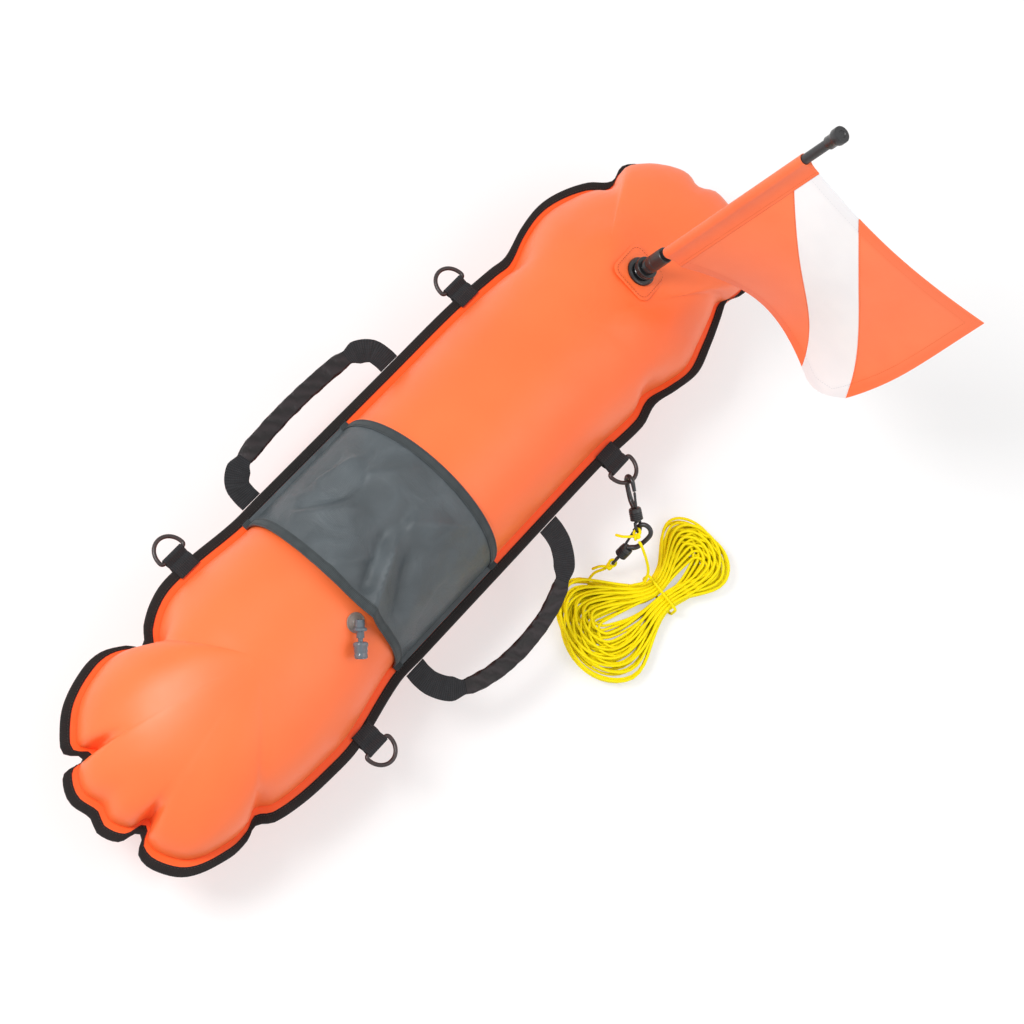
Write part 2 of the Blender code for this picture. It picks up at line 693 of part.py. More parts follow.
def flag_point(seat, axis, fly, f, h, lift):
    """A point of the flag's cloth, by shares along its fly and its hoist."""
    normal = axis.cross(fly)
    free = FLAG_FLY - sleeve_reach()
    share = max(f * FLAG_FLY - sleeve_reach(), 0) / free
    belly = FLAG_BELLY * (1 - h) ** 2 - FLAG_TOP_SAG * h
    drawn_in = (math.pi * belly / free / 2) ** 2
    out = f * FLAG_FLY - share * free * drawn_in
    swell = belly * math.sin(math.pi * share) + FLAG_CORNER_LIFT * (share * h) ** 2
    return seat + axis * (FLAG_START + h * FLAG_HOIST) + fly * out + normal * (swell + lift)


def cloth_piece(name, corners, seat, axis, fly, material):
    """A sewn piece of the flag, from its corners in fly and hoist shares."""
    worker = bmesh.new()
    worker.faces.new([worker.verts.new((f, h, 0)) for f, h in corners])
    for i in range(1, 8):
        for co, no in (((i / 8, 0, 0), X_AXIS), ((0, i / 8, 0), Y_AXIS)):
            geometry = worker.verts[:] + worker.edges[:] + worker.faces[:]
            bmesh.ops.bisect_plane(worker, geom=geometry, plane_co=co, plane_no=no)
    bmesh.ops.triangulate(worker, faces=worker.faces[:])
    worker.verts.index_update()
    flat = [v.co.copy() for v in worker.verts]
    faces = [[v.index for v in face.verts] for face in worker.faces]
    rim = [[e.verts[0].index, e.verts[1].index] for e in worker.edges if e.is_boundary]
    worker.free()
    total = len(flat)
    points = [flag_point(seat, axis, fly, p.x, p.y, side * FLAG_CLOTH / 2)
              for side in (1, -1) for p in flat]
    skins = [tuple(face) for face in faces]
    skins += [tuple(i + total for i in face[::-1]) for face in faces]
    for a, b in rim:
        skins += [(a, b, b + total), (a, b + total, a + total)]
    add_piece(name, points, skins, material)


def flag_pieces(seat, axis, orange, white, sleeve_cloth):
    """The sleeve round the pole and the three sewn pieces of cloth."""
    fly = fly_direction(axis)
    normal = axis.cross(fly)
    inner = POLE_RADIUS + GAP
    turns = [math.radians(55 + 250 * i / 13) for i in range(14)]
    outer = [(inner + SLEEVE_WALL) * Vector((math.cos(t), math.sin(t))) for t in turns]
    outer += [Vector((sleeve_reach(), -SLEEVE_WALL)), Vector((sleeve_reach(), SLEEVE_WALL))]
    bore = [inner * Vector((math.cos(t), math.sin(t)))
            for t in turns + [math.radians(-18), math.radians(18)]]
    rings = []
    for section, height in ((outer, 0), (outer, 1), (bore, 1), (bore, 0)):
        centre = seat + axis * (FLAG_START + height * FLAG_HOIST)
        rings.append([centre + fly * p.x + normal * p.y for p in section])
    points, faces = loft(rings, True)
    add_piece("flag_sleeve", points, faces, sleeve_cloth)
    start = (sleeve_reach() + GAP) / FLAG_FLY
    seam_f = GAP / FLAG_FLY
    seam_h = GAP / FLAG_HOIST

    def at(share):
        return start + (1 - start) * share

    low = at(STRIPE_BOTTOM_SHARE)
    top = at(STRIPE_TOP_SHARE)
    high = STRIPE_HOIST_SHARE
    side = STRIPE_FLY_SHARE
    hoist = ((start, 0), (low - seam_f, 0), (start, high - seam_h))
    stripe = ((start, high + seam_h), (low + seam_f, 0), (1, 0), (1, side - seam_h),
              (top - seam_f, 1), (start, 1))
    outer = ((top + seam_f, 1), (1, side + seam_h), (1, 1))
    cloth_piece("flag_hoist_panel", hoist, seat, axis, fly, orange)
    cloth_piece("flag_white_stripe", stripe, seat, axis, fly, white)
    cloth_piece("flag_fly_panel", outer, seat, axis, fly, orange)


# Webbing

def edge_distance(edge, x, side):
    """How far the outline's straight run or lobe lies from the middle line at x."""
    best = 0.0
    for i, p in enumerate(edge):
        q = edge[(i + 1) % len(edge)]
        if p.y * side > 0 and q.y * side > 0 and min(p.x, q.x) <= x <= max(p.x, q.x):
            share = (x - p.x) / (q.x - p.x) if q.x != p.x else 0
            best = max(best, side * (p.y + (q.y - p.y) * share))
    return best


def tab_seat(edge, x, side):
    """The furthest edge of the binding across a tab's width."""
    steps = [x + TAB_WIDTH * (i / 8 - 0.5) for i in range(9)]
    return max(edge_distance(edge, s, side) for s in steps)


def strip_section(points, thickness):
    """The outline of a folded strip about its middle line, in plan of two axes."""
    left, right = [], []
    for i, (a, b) in enumerate(points):
        before = points[max(i - 1, 0)]
        after = points[min(i + 1, len(points) - 1)]
        run = math.hypot(after[0] - before[0], after[1] - before[1])
        across = (-(after[1] - before[1]) / run, (after[0] - before[0]) / run)
        left.append((a + across[0] * thickness / 2, b + across[1] * thickness / 2))
        right.append((a - across[0] * thickness / 2, b - across[1] * thickness / 2))
    return left + right[::-1]


def dee_bar(edge, x, side):
    """The middle of a D-ring's straight bar."""
    return Vector((x, side * (tab_seat(edge, x, side) + TAB_REACH), SEAM_HEIGHT))


def webbing_tab(name, edge, x, side, material):
    """A strip folded round a D-ring's bar, its two ends over and under the binding."""
    bar = tab_seat(edge, x, side) + TAB_REACH
    near = tab_seat(edge, x, side)
    leg = BINDING_OUTER + GAP + TAB_THICKNESS / 2
    loop = RING_WIRE + GAP + TAB_THICKNESS / 2
    pinch = TAB_THICKNESS / 2 + GAP
    path = [(near - TAB_OVERLAP, leg), (near + GAP, leg), (near + TAB_REACH * 0.38, pinch)]
    for turn in (125, 90, 45, 0, -45, -90, -125):
        angle = math.radians(turn)
        path.append((bar + loop * math.cos(angle), loop * math.sin(angle)))
    path += [(near + TAB_REACH * 0.38, -pinch), (near + GAP, -leg), (near - TAB_OVERLAP, -leg)]
    section = strip_section(path, TAB_THICKNESS)
    rings = [[Vector((x + end * TAB_WIDTH / 2, side * a, SEAM_HEIGHT + b)) for a, b in section]
             for end in (-1, 1)]
    points, faces = loft(rings)
    add_piece(name, points, faces, material)


def dee_path(edge, x, side):
    """The middle line of a D-ring's wire, lying level."""
    bar = dee_bar(edge, x, side)
    half = DEE_WIDTH / 2 - RING_WIRE
    deep = DEE_DEPTH - 2 * RING_WIRE
    corner = DEE_CORNER
    flat = [(-half + corner, 0), (0, 0), (half - corner, 0)]
    for turn in (-60, -30, 0):
        angle = math.radians(turn)
        flat.append((half - corner + corner * math.cos(angle), corner + corner * math.sin(angle)))
    for step in range(1, 12):
        angle = math.pi * step / 12
        flat.append((half * math.cos(angle), corner + (deep - corner) * math.sin(angle)))
    for turn in (180, 210, 240):
        angle = math.radians(turn)
        flat.append((-half + corner + corner * math.cos(angle), corner + corner * math.sin(angle)))
    return [bar + Vector((u, side * v, 0)) for u, v in flat]


def dee_ring(name, edge, x, side, material):
    """A bent and welded wire ring."""
    path = dee_path(edge, x, side)
    points, faces = swept(path, [RING_WIRE] * len(path), 6, True, Z_AXIS)
    add_piece(name, points, faces, material)


def handle_frame(edge, x, side, droop):
    """Where a handle turns: a line just outside the binding, and the handle's directions."""
    hinge = Vector((x, side * (HALF_WIDTH + HANDLE_OFFSET), SEAM_HEIGHT))
    outward = Vector((0, side * math.cos(droop), -math.sin(droop)))
    return hinge, outward


def flat_sweep(path, outward, widths, thicknesses):
    """Rings of a flat strip that bends in its own plane."""
    up = X_AXIS.cross(outward).normalized()
    rings = []
    for i, p in enumerate(path):
        before = path[max(i - 1, 0)]
        after = path[min(i + 1, len(path) - 1)]
        heading = (after - before).normalized()
        across = up.cross(heading).normalized()
        w, t = widths[i] / 2, thicknesses[i] / 2
        soft = min(t, w) * 0.6
        flat = [(w, -t + soft), (w, t - soft), (w - soft, t), (-w + soft, t),
                (-w, t - soft), (-w, -t + soft), (-w + soft, -t), (w - soft, -t)]
        rings.append([p + across * a + up * b for a, b in flat])
    return rings


def handle(prefix, edge, x, side, reach, droop, shares, webbing, wrap):
    """A carrying handle: a webbing strap with a soft wrap round its middle."""
    hinge, outward = handle_frame(edge, x, side, droop)
    guide = [hinge + X_AXIS * u * HANDLE_HALF_SPAN + outward * v * reach for u, v in shares]
    path = smooth_open(guide, WEBBING_WIDTH * 0.52)
    limit = HANDLE_HALF_SPAN * GRIP_HALF_SPAN_SHARE
    held = GRIP_WIDTH - 2 * GRIP_WALL - 2 * GAP
    thick = GRIP_THICKNESS - 2 * GRIP_WALL - 2 * GAP
    widths, heights = [], []
    for p in path:
        away = (abs(p.x - x) - limit) / (HANDLE_HALF_SPAN - limit)
        blend = ease(away * 2.2)
        widths.append(held + (WEBBING_WIDTH - held) * blend)
        heights.append(thick + (WEBBING_THICKNESS - thick) * blend)
    nibs = [path[0] - outward * HANDLE_NIB, path[-1] - outward * HANDLE_NIB]
    full = [nibs[0]] + path + [nibs[1]]
    wide = [widths[0]] + widths + [widths[-1]]
    high = [HANDLE_NIB] + heights + [HANDLE_NIB]
    points, faces = loft(flat_sweep(full, outward, wide, high))
    add_piece(prefix + "_handle_strap", points, faces, webbing)
    inside = [i for i, p in enumerate(path) if abs(p.x - x) <= limit]
    part = [path[i] for i in inside]
    outer = flat_sweep(part, outward, [GRIP_WIDTH] * len(part), [GRIP_THICKNESS] * len(part))
    hole_w = [widths[i] + 2 * GAP for i in inside]
    hole_t = [heights[i] + 2 * GAP for i in inside]
    inner = flat_sweep(part, outward, hole_w, hole_t)
    points, faces = loft(outer + inner[::-1], True)
    add_piece(prefix + "_handle_grip", points, faces, wrap)


# Snap hooks: Z runs from the bow to the eye, X across the bow, Y square to its face

def hook_path():
    """The middle line of the hook's bow, from inside the barrel to the nose."""
    radius = HOOK_BOW_RADIUS
    middle = radius + HOOK_WIRE
    barrel = HOOK_LENGTH - EYE_DEPTH - BARREL_LENGTH
    path = [(0, barrel + BARREL_LENGTH * 0.05), (-radius * 0.30, barrel - radius * 0.25),
            (-radius * 0.80, barrel - radius), (-radius, middle + radius)]
    for turn in range(0, 181, 30):
        angle = math.radians(turn)
        path.append((-radius * math.cos(angle), middle - radius * math.sin(angle)))
    path.append((radius, middle + HOOK_NOSE_DROP))
    return [Vector((x, 0, z)) for x, z in path]


def gate_pivot():
    """Where the gate is hinged, under the barrel's lower face."""
    start = HOOK_LENGTH - EYE_DEPTH - BARREL_LENGTH
    return Vector((GATE_PIVOT_OUT, 0, start - GATE_RADIUS - GAP))


def snap_hook(prefix, place, eye_turn, plastic, gate_material):
    """A trigger snap hook: body with barrel, sprung gate, and swivel eye."""
    path = hook_path()
    thin = HOOK_WIRE * 0.9
    radii = [HOOK_WIRE * 1.2, HOOK_WIRE * 1.2, HOOK_WIRE * 1.1] + [HOOK_WIRE] * (len(path) - 5)
    radii += [thin, thin * 0.85]
    points, faces = swept([place @ p for p in path], radii, 8, False,
                          (place.to_3x3() @ Y_AXIS).normalized())
    body = add_piece(prefix + "_body", points, faces, plastic)
    start = HOOK_LENGTH - EYE_DEPTH - BARREL_LENGTH
    end = start + BARREL_LENGTH
    bore = BARREL_BORE
    floor = start + BARREL_LENGTH * 0.30
    barrel = [
        (bore, floor), (bore, end), (BARREL_RADIUS, end),
        (BARREL_RADIUS, start + BARREL_LENGTH * 0.18), (BARREL_RADIUS * 0.8, start),
        (AXIS_RADIUS, start), (AXIS_RADIUS, floor),
    ]
    points, faces = turned(barrel, place, 16, True)
    fuse(body, [add_piece(prefix + "_barrel", points, faces, plastic)])

    pivot = gate_pivot()
    nose = hook_path()[-1]
    clearance = GATE_RADIUS + GAP
    top = Vector((nose.x - HOOK_WIRE * 0.2, 0, nose.z + clearance))
    heel = pivot + (pivot - top).normalized() * GATE_RADIUS * 0.8
    gate = [heel, pivot, pivot.lerp(top, 0.5), top]
    radii = [GATE_RADIUS * 0.6] + [GATE_RADIUS] * 3
    points, faces = swept([place @ p for p in gate], radii, 8, False,
                          (place.to_3x3() @ Y_AXIS).normalized())
    add_piece(prefix + "_gate", points, faces, gate_material)

    spun = place @ Matrix.Rotation(eye_turn, 4, "Z")
    half = EYE_WIDTH / 2 - EYE_WIRE
    shoulder = end + GAP + EYE_WIRE
    deep = EYE_DEPTH - 2 * EYE_WIRE - GAP
    ring = []
    for step in range(4):
        ring.append((half * (0.9 - 0.6 * step), 0))
    for step in range(9):
        angle = math.pi * step / 8
        ring.append((-half * math.cos(angle), deep * (0.35 + 0.65 * math.sin(angle))))
    wire = [spun @ Vector((x, 0, shoulder + z)) for x, z in ring]
    points, faces = swept(wire, [EYE_WIRE] * len(wire), 6, True,
                          (spun.to_3x3() @ Y_AXIS).normalized())
    eye = add_piece(prefix + "_eye", points, faces, plastic)
    pin = bore - GAP
    stub = [(pin, floor + GAP), (pin, shoulder)]
    points, faces = turned(stub, spun, 10)
    fuse(eye, [add_piece(prefix + "_stub", points, faces, plastic)])


def hook_places(edge):
    """Matrices of the two hooks: the first on the D-ring, the second through its eye."""
    first = HOOK_1_AIM.normalized()
    bar = dee_bar(edge, RIGHT_FRONT_X, -1)
    share = HOOK_1_HANG / (DEE_WIDTH / 2 - RING_WIRE)
    deep = DEE_DEPTH - 2 * RING_WIRE - DEE_CORNER
    out = DEE_CORNER + deep * math.sqrt(1 - share ** 2)
    wire = bar + Vector((-HOOK_1_HANG, -out, 0))
    seat = 2 * HOOK_WIRE + RING_WIRE + GAP * 3
    top = wire - first * seat
    hint = first.cross(Z_AXIS)
    side = hint.cross(first)
    hook_1 = placed(top, first, side)
    second = HOOK_2_AIM.normalized()
    hole = top + first * (HOOK_LENGTH - 2 * EYE_WIRE - (EYE_DEPTH - 4 * EYE_WIRE) / 2)
    bow = hole - Y_AXIS * HOOK_BOW_RADIUS
    start = bow - second * (HOOK_BOW_RADIUS + HOOK_WIRE)
    hook_2 = placed(start, second, Y_AXIS)
    facing = (second - first * second.dot(first)).normalized()
    spin = hook_1.to_3x3().inverted() @ facing
    turn = math.atan2(spin.y, spin.x) - math.pi / 2
    return hook_1, hook_2, turn


# Line

def hank_offset(turn):
    """The lane of the spiral, in steps from the middle: in and out at a steady rate."""
    half = TURNS_PER_LAYER
    phase = (turn - (half - 0.25)) % (2 * half)
    return 0.5 + min(phase, 2 * half - phase)


def hank_spine(s):
    """A point of the hank's middle line and its left normal, s metres past the waist."""
    waist = Vector((*HANK_WAIST, 0))
    end = Vector((*(HANK_LEFT_END if s < 0 else HANK_RIGHT_END), 0))
    reach = (end - waist).length
    left = (waist - Vector((*HANK_LEFT_END, 0))).normalized()
    right = (Vector((*HANK_RIGHT_END, 0)) - waist).normalized()
    middle = (left + right).normalized()
    share = min(abs(s) / reach, 1.0)
    if s < 0:
        p = hermite(waist, end, -middle * reach, -left * reach, share)
        heading = middle.lerp(left, share).normalized()
    else:
        p = hermite(waist, end, middle * reach, right * reach, share)
        heading = middle.lerp(right, share).normalized()
    return p, Vector((-heading.y, heading.x, 0)), reach


def hank_point(turn):
    """The line's middle after that many turns from the left end of the bottom layer."""
    lane = hank_offset(turn)
    spread = (lane - 0.5) / TURNS_PER_LAYER
    whole = math.floor(turn)
    part = (turn - whole) * 2
    side = 1 if part < 1 else -1
    along = part if part < 1 else 2 - part
    left_reach = hank_spine(-1)[2]
    right_reach = hank_spine(1)[2]
    nest = 1 - FAN_NEST_SHARE * (1 - spread)
    left_half = LEFT_FAN_CORE + (LEFT_FAN_HALF - LEFT_FAN_CORE) * spread
    right_half = RIGHT_FAN_CORE + (RIGHT_FAN_HALF - RIGHT_FAN_CORE) * spread
    waist_half = WAIST_CORE + WAIST_STEP * (lane - 0.5)
    left_round = left_half * FAN_ROUND_SHARE
    right_round = right_half * FAN_ROUND_SHARE
    left_end = -left_reach * nest
    right_end = right_reach * nest
    if along < ARC_SHARE:
        turn_share = along / ARC_SHARE * math.pi / 2
        s = left_end + left_round * (1 - math.cos(turn_share))
        lateral = left_half * math.sin(turn_share)
    elif along > 1 - ARC_SHARE:
        turn_share = (1 - along) / ARC_SHARE * math.pi / 2
        s = right_end - right_round * (1 - math.cos(turn_share))
        lateral = right_half * math.sin(turn_share)
    else:
        first, last = left_end + left_round, right_end - right_round
        s = first * (0.5 - along) / (0.5 - ARC_SHARE)
        if along > 0.5:
            s = last * (along - 0.5) / (0.5 - ARC_SHARE)
        widest, away = (left_half, s / first) if s < 0 else (right_half, s / last)
        lateral = waist_half + (widest - waist_half) * ease(away)
    p, normal, reach = hank_spine(s)
    climbed = math.floor(turn / TURNS_PER_LAYER)
    before = turn - climbed * TURNS_PER_LAYER
    layer = climbed + ease((before - (TURNS_PER_LAYER - 0.4)) / 0.3)
    spacing = WAIST_LAYER + (FAN_LAYER - WAIST_LAYER) * ease(abs(s) / reach)
    lift = WAIST_LIFT * math.exp(-(s / WAIST_LIFT_LENGTH) ** 2)
    height = LINE_DIAMETER / 2 + GAP / 3 + lift + layer * spacing
    return p + normal * side * lateral + Z_AXIS * height


def hank_route():
    """All the points of the hank's line, with a straight diameter at each end."""
    steps = range(HANK_FIRST_POINT, HANK_LAST_POINT + 1)
    return [hank_point(i / POINTS_PER_LOOP) for i in steps]


def print_gap(route):
    """Prints the length of the line and its least gap to itself."""
    dense = []
    for a, b in zip(route, route[1:]):
        dense += [tuple(a.lerp(b, k / 6)) for k in range(6)]
    table = np.array(dense)
    steps = np.linalg.norm(np.diff(table, axis=0), axis=1)
    along = np.concatenate([[0], np.cumsum(steps)])
    least = math.inf
    where = 0
    for i in range(0, len(table)):
        far = np.abs(along - along[i]) > 6 * LINE_DIAMETER
        away = np.linalg.norm(table[far] - table[i], axis=1).min()
        if away < least:
            least = away
            where = i
    turn = (HANK_FIRST_POINT + where / 6) / POINTS_PER_LOOP
    print("hank length", round(along[-1], 3), "least gap", round(least - LINE_DIAMETER, 5),
          "at turn", round(turn, 2))


def hank_tie(material):
    """A turn of the same line round the waist, holding the loops together."""
    p, normal, _ = hank_spine(0)
    half = WAIST_CORE + WAIST_STEP * TURNS_PER_LAYER
    low = LINE_DIAMETER / 2 + GAP / 3
    bottom = low + WAIST_LIFT
    top = bottom + WAIST_LAYER * (HANK_LAYERS - 1)
    radius = LINE_DIAMETER + TIE_CLEARANCE
    path = []
    for corner, (side, height) in enumerate(((1, top), (-1, top), (-1, bottom), (1, bottom))):
        for step in range(4):
            turn = math.radians(corner * 90 + step * 30)
            path.append(p + normal * (side * half + radius * math.cos(turn))
                        + Z_AXIS * (height + radius * math.sin(turn)))
    heading = normal.cross(Z_AXIS)
    points, faces = swept(path, [LINE_DIAMETER / 2] * len(path), 6, True, heading)
    add_piece("hank_tie", points, faces, material)


def knot(name, centre, material):
    """A tight overhand knot, drawn as its outer lump."""
    worker = bmesh.new()
    bmesh.ops.create_icosphere(worker, subdivisions=2, radius=KNOT_RADIUS)
    points = []
    for v in worker.verts:
        swell = 1 + 0.10 * math.sin(3 * math.atan2(v.co.y, v.co.x)) * (1 - abs(v.co.z) / KNOT_RADIUS)
        points.append(centre + Vector((v.co.x * swell, v.co.y * swell, v.co.z * 0.85)))
    faces = [tuple(v.index for v in face.verts) for face in worker.faces]
    worker.free()
    add_piece(name, points, faces, material)


def line_pieces(hooks, turn, material):
    """The hank, its tie, the two knots on the hooks' eyes and the stretches between."""
    route = hank_route()
    print_gap(route)
    line_piece("line_hank", route, material, 1)
    hank_tie(material)
    gap = GAP * 2
    spun = hooks[0] @ Matrix.Rotation(turn, 4, "Z")
    clear = EYE_WIRE + KNOT_RADIUS + gap
    knot_1 = spun @ Vector((KNOT_1_ASIDE, 0, HOOK_LENGTH + KNOT_1_BEYOND))
    knot_2 = hooks[1] @ Vector((0, 0, HOOK_LENGTH - EYE_WIRE + clear))
    knot("knot_1", knot_1, material)
    knot("knot_2", knot_2, material)

    end = route[-1]
    along = (end - route[-2]).normalized()
    out = Vector(LEAD_1_AIM).normalized()
    start = knot_1 + out * (KNOT_RADIUS + gap)
    guide = [start, start + out * LINE_DIAMETER * 2]
    guide += [Vector(p) for p in LEAD_1_ROUTE]
    guide += [end + along * LINE_DIAMETER * 2 + Z_AXIS * LEAD_1_RISE,
              end + along * (LINE_DIAMETER + gap), end + along * gap]
    line_piece("line_lead_1", smooth_open(guide, LINE_DIAMETER * 1.3), material, 1)

    begin = route[0]
    back = (begin - route[1]).normalized()
    out = Vector(LEAD_2_AIM).normalized()
    start = knot_2 + out * (KNOT_RADIUS * 0.85 + gap)
    guide = [start, start + out * LINE_DIAMETER]
    guide += [Vector(p) for p in LEAD_2_ROUTE]
    guide += [begin + back * LINE_DIAMETER * 2, begin + back * (LINE_DIAMETER + gap),
              begin + back * gap]
    line_piece("line_lead_2", smooth_open(guide, LINE_DIAMETER * 1.3), material, 1)


def build():
    """Clears the scene and models every piece."""
    for old in list(bpy.data.objects):
        bpy.data.objects.remove(old)
    skin = finish("orange_skin", 0xFF7A42, 0.42)
    tape = finish("black_tape", 0x201A1A, 0.85)
    webbing = finish("black_webbing", 0x2B2B2D, 0.8)
    cloth = finish("grey_coated_cloth", 0x555D61, 0.6)
    hem = finish("grey_hem_tape", 0x44494B, 0.8)
    rubber = finish("soft_clear_plastic", 0xC8C8C4, 0.35)
    clear = finish("smoked_clear_plastic", 0x8E9496, 0.2)
    plastic = finish("black_moulded_plastic", 0x1C1C1E, 0.35)
    rod = finish("black_rod", 0x262628, 0.45)
    flag_orange = finish("orange_flag_cloth", 0xFF7A45, 0.75)
    flag_white = finish("white_flag_cloth", 0xF5F5F5, 0.75)
    sleeve = finish("orange_sleeve_cloth", 0xF4703F, 0.75)
    wire = finish("black_coated_wire", 0x2A2426, 0.4, 0.6)
    line = finish("yellow_line", 0xF7E017, 0.6)

    edge = outline()
    tree = skin_tree(edge)
    seat, _ = skin_point(tree, SOCKET_X, SOCKET_Y)
    axis = pole_axis()
    body_panels(edge, seat, axis, skin)
    edge_binding(edge, tape)
    cargo_pocket(cloth, hem)
    inflation_valve(tree, rubber, clear)
    flag_pole_pieces(seat, axis, skin, plastic, rod)
    flag_pieces(seat, axis, flag_orange, flag_white, sleeve)
    for name, x, side in (("left_front", LEFT_FRONT_X, 1), ("left_rear", LEFT_REAR_X, 1),
                          ("right_front", RIGHT_FRONT_X, -1), ("right_rear", RIGHT_REAR_X, -1)):
        webbing_tab(name + "_tab", edge, x, side, webbing)
        dee_ring(name + "_ring", edge, x, side, wire)
    handle("left", edge, LEFT_HANDLE_X, 1, LEFT_REACH, 0, LEFT_HANDLE_SHARES, webbing, webbing)
    handle("right", edge, RIGHT_HANDLE_X, -1, RIGHT_REACH, RIGHT_DROOP, RIGHT_HANDLE_SHARES,
           webbing, webbing)
    hook_1, hook_2, turn = hook_places(edge)
    snap_hook("hook_1", hook_1, turn, plastic, plastic)
    snap_hook("hook_2", hook_2, math.pi / 2, plastic, plastic)
    line_pieces((hook_1, hook_2), turn, line)


build()
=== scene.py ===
"""The dressed dive flag float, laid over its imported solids.

Metres, in the frame of the solids: +X towards the nose, +Y to the left side, +Z up.
"""
import math

import bmesh
import bpy
import numpy as np
from mathutils import Matrix, Vector, noise


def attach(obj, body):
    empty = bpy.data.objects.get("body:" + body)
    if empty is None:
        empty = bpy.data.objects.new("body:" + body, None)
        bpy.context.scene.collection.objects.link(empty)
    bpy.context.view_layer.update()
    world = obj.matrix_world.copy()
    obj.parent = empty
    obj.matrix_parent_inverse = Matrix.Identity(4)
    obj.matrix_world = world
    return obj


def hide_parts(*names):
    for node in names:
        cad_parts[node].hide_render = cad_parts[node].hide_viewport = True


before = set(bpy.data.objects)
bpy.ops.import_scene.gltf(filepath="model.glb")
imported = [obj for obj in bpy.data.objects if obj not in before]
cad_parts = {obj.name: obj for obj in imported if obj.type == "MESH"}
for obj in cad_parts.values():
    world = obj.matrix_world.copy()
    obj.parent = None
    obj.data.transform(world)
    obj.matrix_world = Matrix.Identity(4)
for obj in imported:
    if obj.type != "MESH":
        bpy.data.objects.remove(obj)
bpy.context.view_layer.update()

# Float skins
# Two panels of nylon cloth coated with orange PVC, laid face to face and welded all round.
# Blown up they make one tube with lobed ends, and the air tucks the cloth along the weld.

BODY_LENGTH = 0.950
MID_WIDTH = 0.228
TUBE_HEIGHT = 0.186
SEAM_HEIGHT = 0.090
SPINE_TAIL = -0.23675
SPINE_NOSE = 0.24925
NOSE_TAPER = 0.259
NOSE_SWELL = 0.11
HALF_LENGTH = BODY_LENGTH / 2
HALF_WIDTH = MID_WIDTH / 2
FLANGE_WIDTH = 0.017
FLANGE_TOP = 0.00095
SKIN_WALL = 0.0008
GAP = 0.0003
STATION = 0.006
SKIN_ANGLES = (0, 1.5, 4, 7, 11, 15, 20, 25, 30, 36, 42, 48, 54, 60, 66, 72, 78, 83, 88)
INNER_ANGLES = (88, 70, 50, 30, 12, 0)
OUTLINE_SHARES = (
    (0.00, 1.00), (-0.20, 1.00), (-0.275, 1.00), (-0.40, 1.05), (-0.47, 1.055), (-0.52, 1.00),
    (-0.56, 0.91), (-0.592, 0.80), (-0.615, 0.90), (-0.66, 1.01), (-0.71, 1.02), (-0.79, 0.92),
    (-0.845, 0.74), (-0.861, 0.63), (-0.842, 0.49), (-0.888, 0.515), (-0.914, 0.41), (-0.924, 0.29),
    (-0.918, 0.10), (-0.93, -0.02), (-0.914, -0.20), (-0.873, -0.285), (-0.905, -0.39), (-0.907, -0.56),
    (-0.87, -0.81), (-0.785, -0.96), (-0.735, -0.97), (-0.702, -0.935), (-0.67, -1.03), (-0.60, -1.10),
    (-0.52, -1.13), (-0.44, -1.13), (-0.275, -1.00), (-0.20, -1.00), (0.05, -1.00), (0.40, -1.00),
    (0.53, -1.03), (0.59, -0.978), (0.65, -1.03), (0.72, -1.065), (0.79, -0.98), (0.86, -0.87),
    (0.900, -0.81), (0.93, -0.865), (0.965, -0.87), (1.00, -0.76), (1.035, -0.52), (1.06, -0.25),
    (1.066, -0.03), (1.050, 0.12), (1.052, 0.27), (1.035, 0.45), (1.00, 0.66), (0.965, 0.77),
    (0.920, 0.74), (0.875, 0.89), (0.81, 1.01), (0.75, 1.06), (0.68, 1.03), (0.60, 0.945),
    (0.555, 0.965), (0.42, 1.00), (0.21, 1.00),
)
TUCK_SHARES = ((-0.592, 0.80), (-0.842, 0.49), (-0.873, -0.285), (-0.702, -0.935),
               (0.59, -0.978), (0.900, -0.81), (1.050, 0.12), (0.920, 0.74), (0.60, 0.945))
TUCK_DEPTH = 0.34
TUCK_WIDTH = 0.015
TUCK_REACH = 0.18
END_BLEND = 0.09
# Lobes shorter than this fade out of the tube above the seam.
LOBE_SPAN = 0.055
# The flange's waves and the tube's folds fade with the seam angle, in degrees.
WAVE_HEIGHT = 0.0016
WAVE_FADE = 7
SIDE_FOLD = 0.0004
END_FOLD = 0.0022
FOLD_FADE = 15
# The last ring of a skin, nearest to the middle line, lies this far from it in plan.
LAST_RING = 0.0034
# The skin is drawn flat this far round the pole's seat, and eases into its round beyond.
SEAT_FLAT = 0.034
SEAT_BLEND = 0.045
SEAT = Vector((0.334, -0.007, 0.17691))
POLE_AXIS = Vector((0.23853, -0.16697, 0.95668)).normalized()
X_AXIS = Vector((1, 0, 0))
Y_AXIS = Vector((0, 1, 0))
Z_AXIS = Vector((0, 0, 1))


def light(colour):
    """An sRGB hex number as linear red, green, blue and alpha."""
    shares = [(colour >> shift & 255) / 255 for shift in (16, 8, 0)]
    return (*(s / 12.92 if s <= 0.04045 else ((s + 0.055) / 1.055) ** 2.4 for s in shares), 1.0)


def connect(tree, node, inputs):
    """Give each input a value, or link it to a socket or to the main output of another node."""
    for key, value in inputs.items():
        if isinstance(value, bpy.types.Node):
            value = value.outputs.get("Fac") or next(s for s in value.outputs if s.enabled)
        if isinstance(value, bpy.types.NodeSocket):
            tree.links.new(value, node.inputs[key])
        else:
            node.inputs[key].default_value = value


def add_node(tree, kind, inputs=None, **settings):
    """A node with its settings and its inputs."""
    made = tree.nodes.new(kind)
    for name, value in settings.items():
        setattr(made, name, value)
    connect(tree, made, inputs or {})
    return made


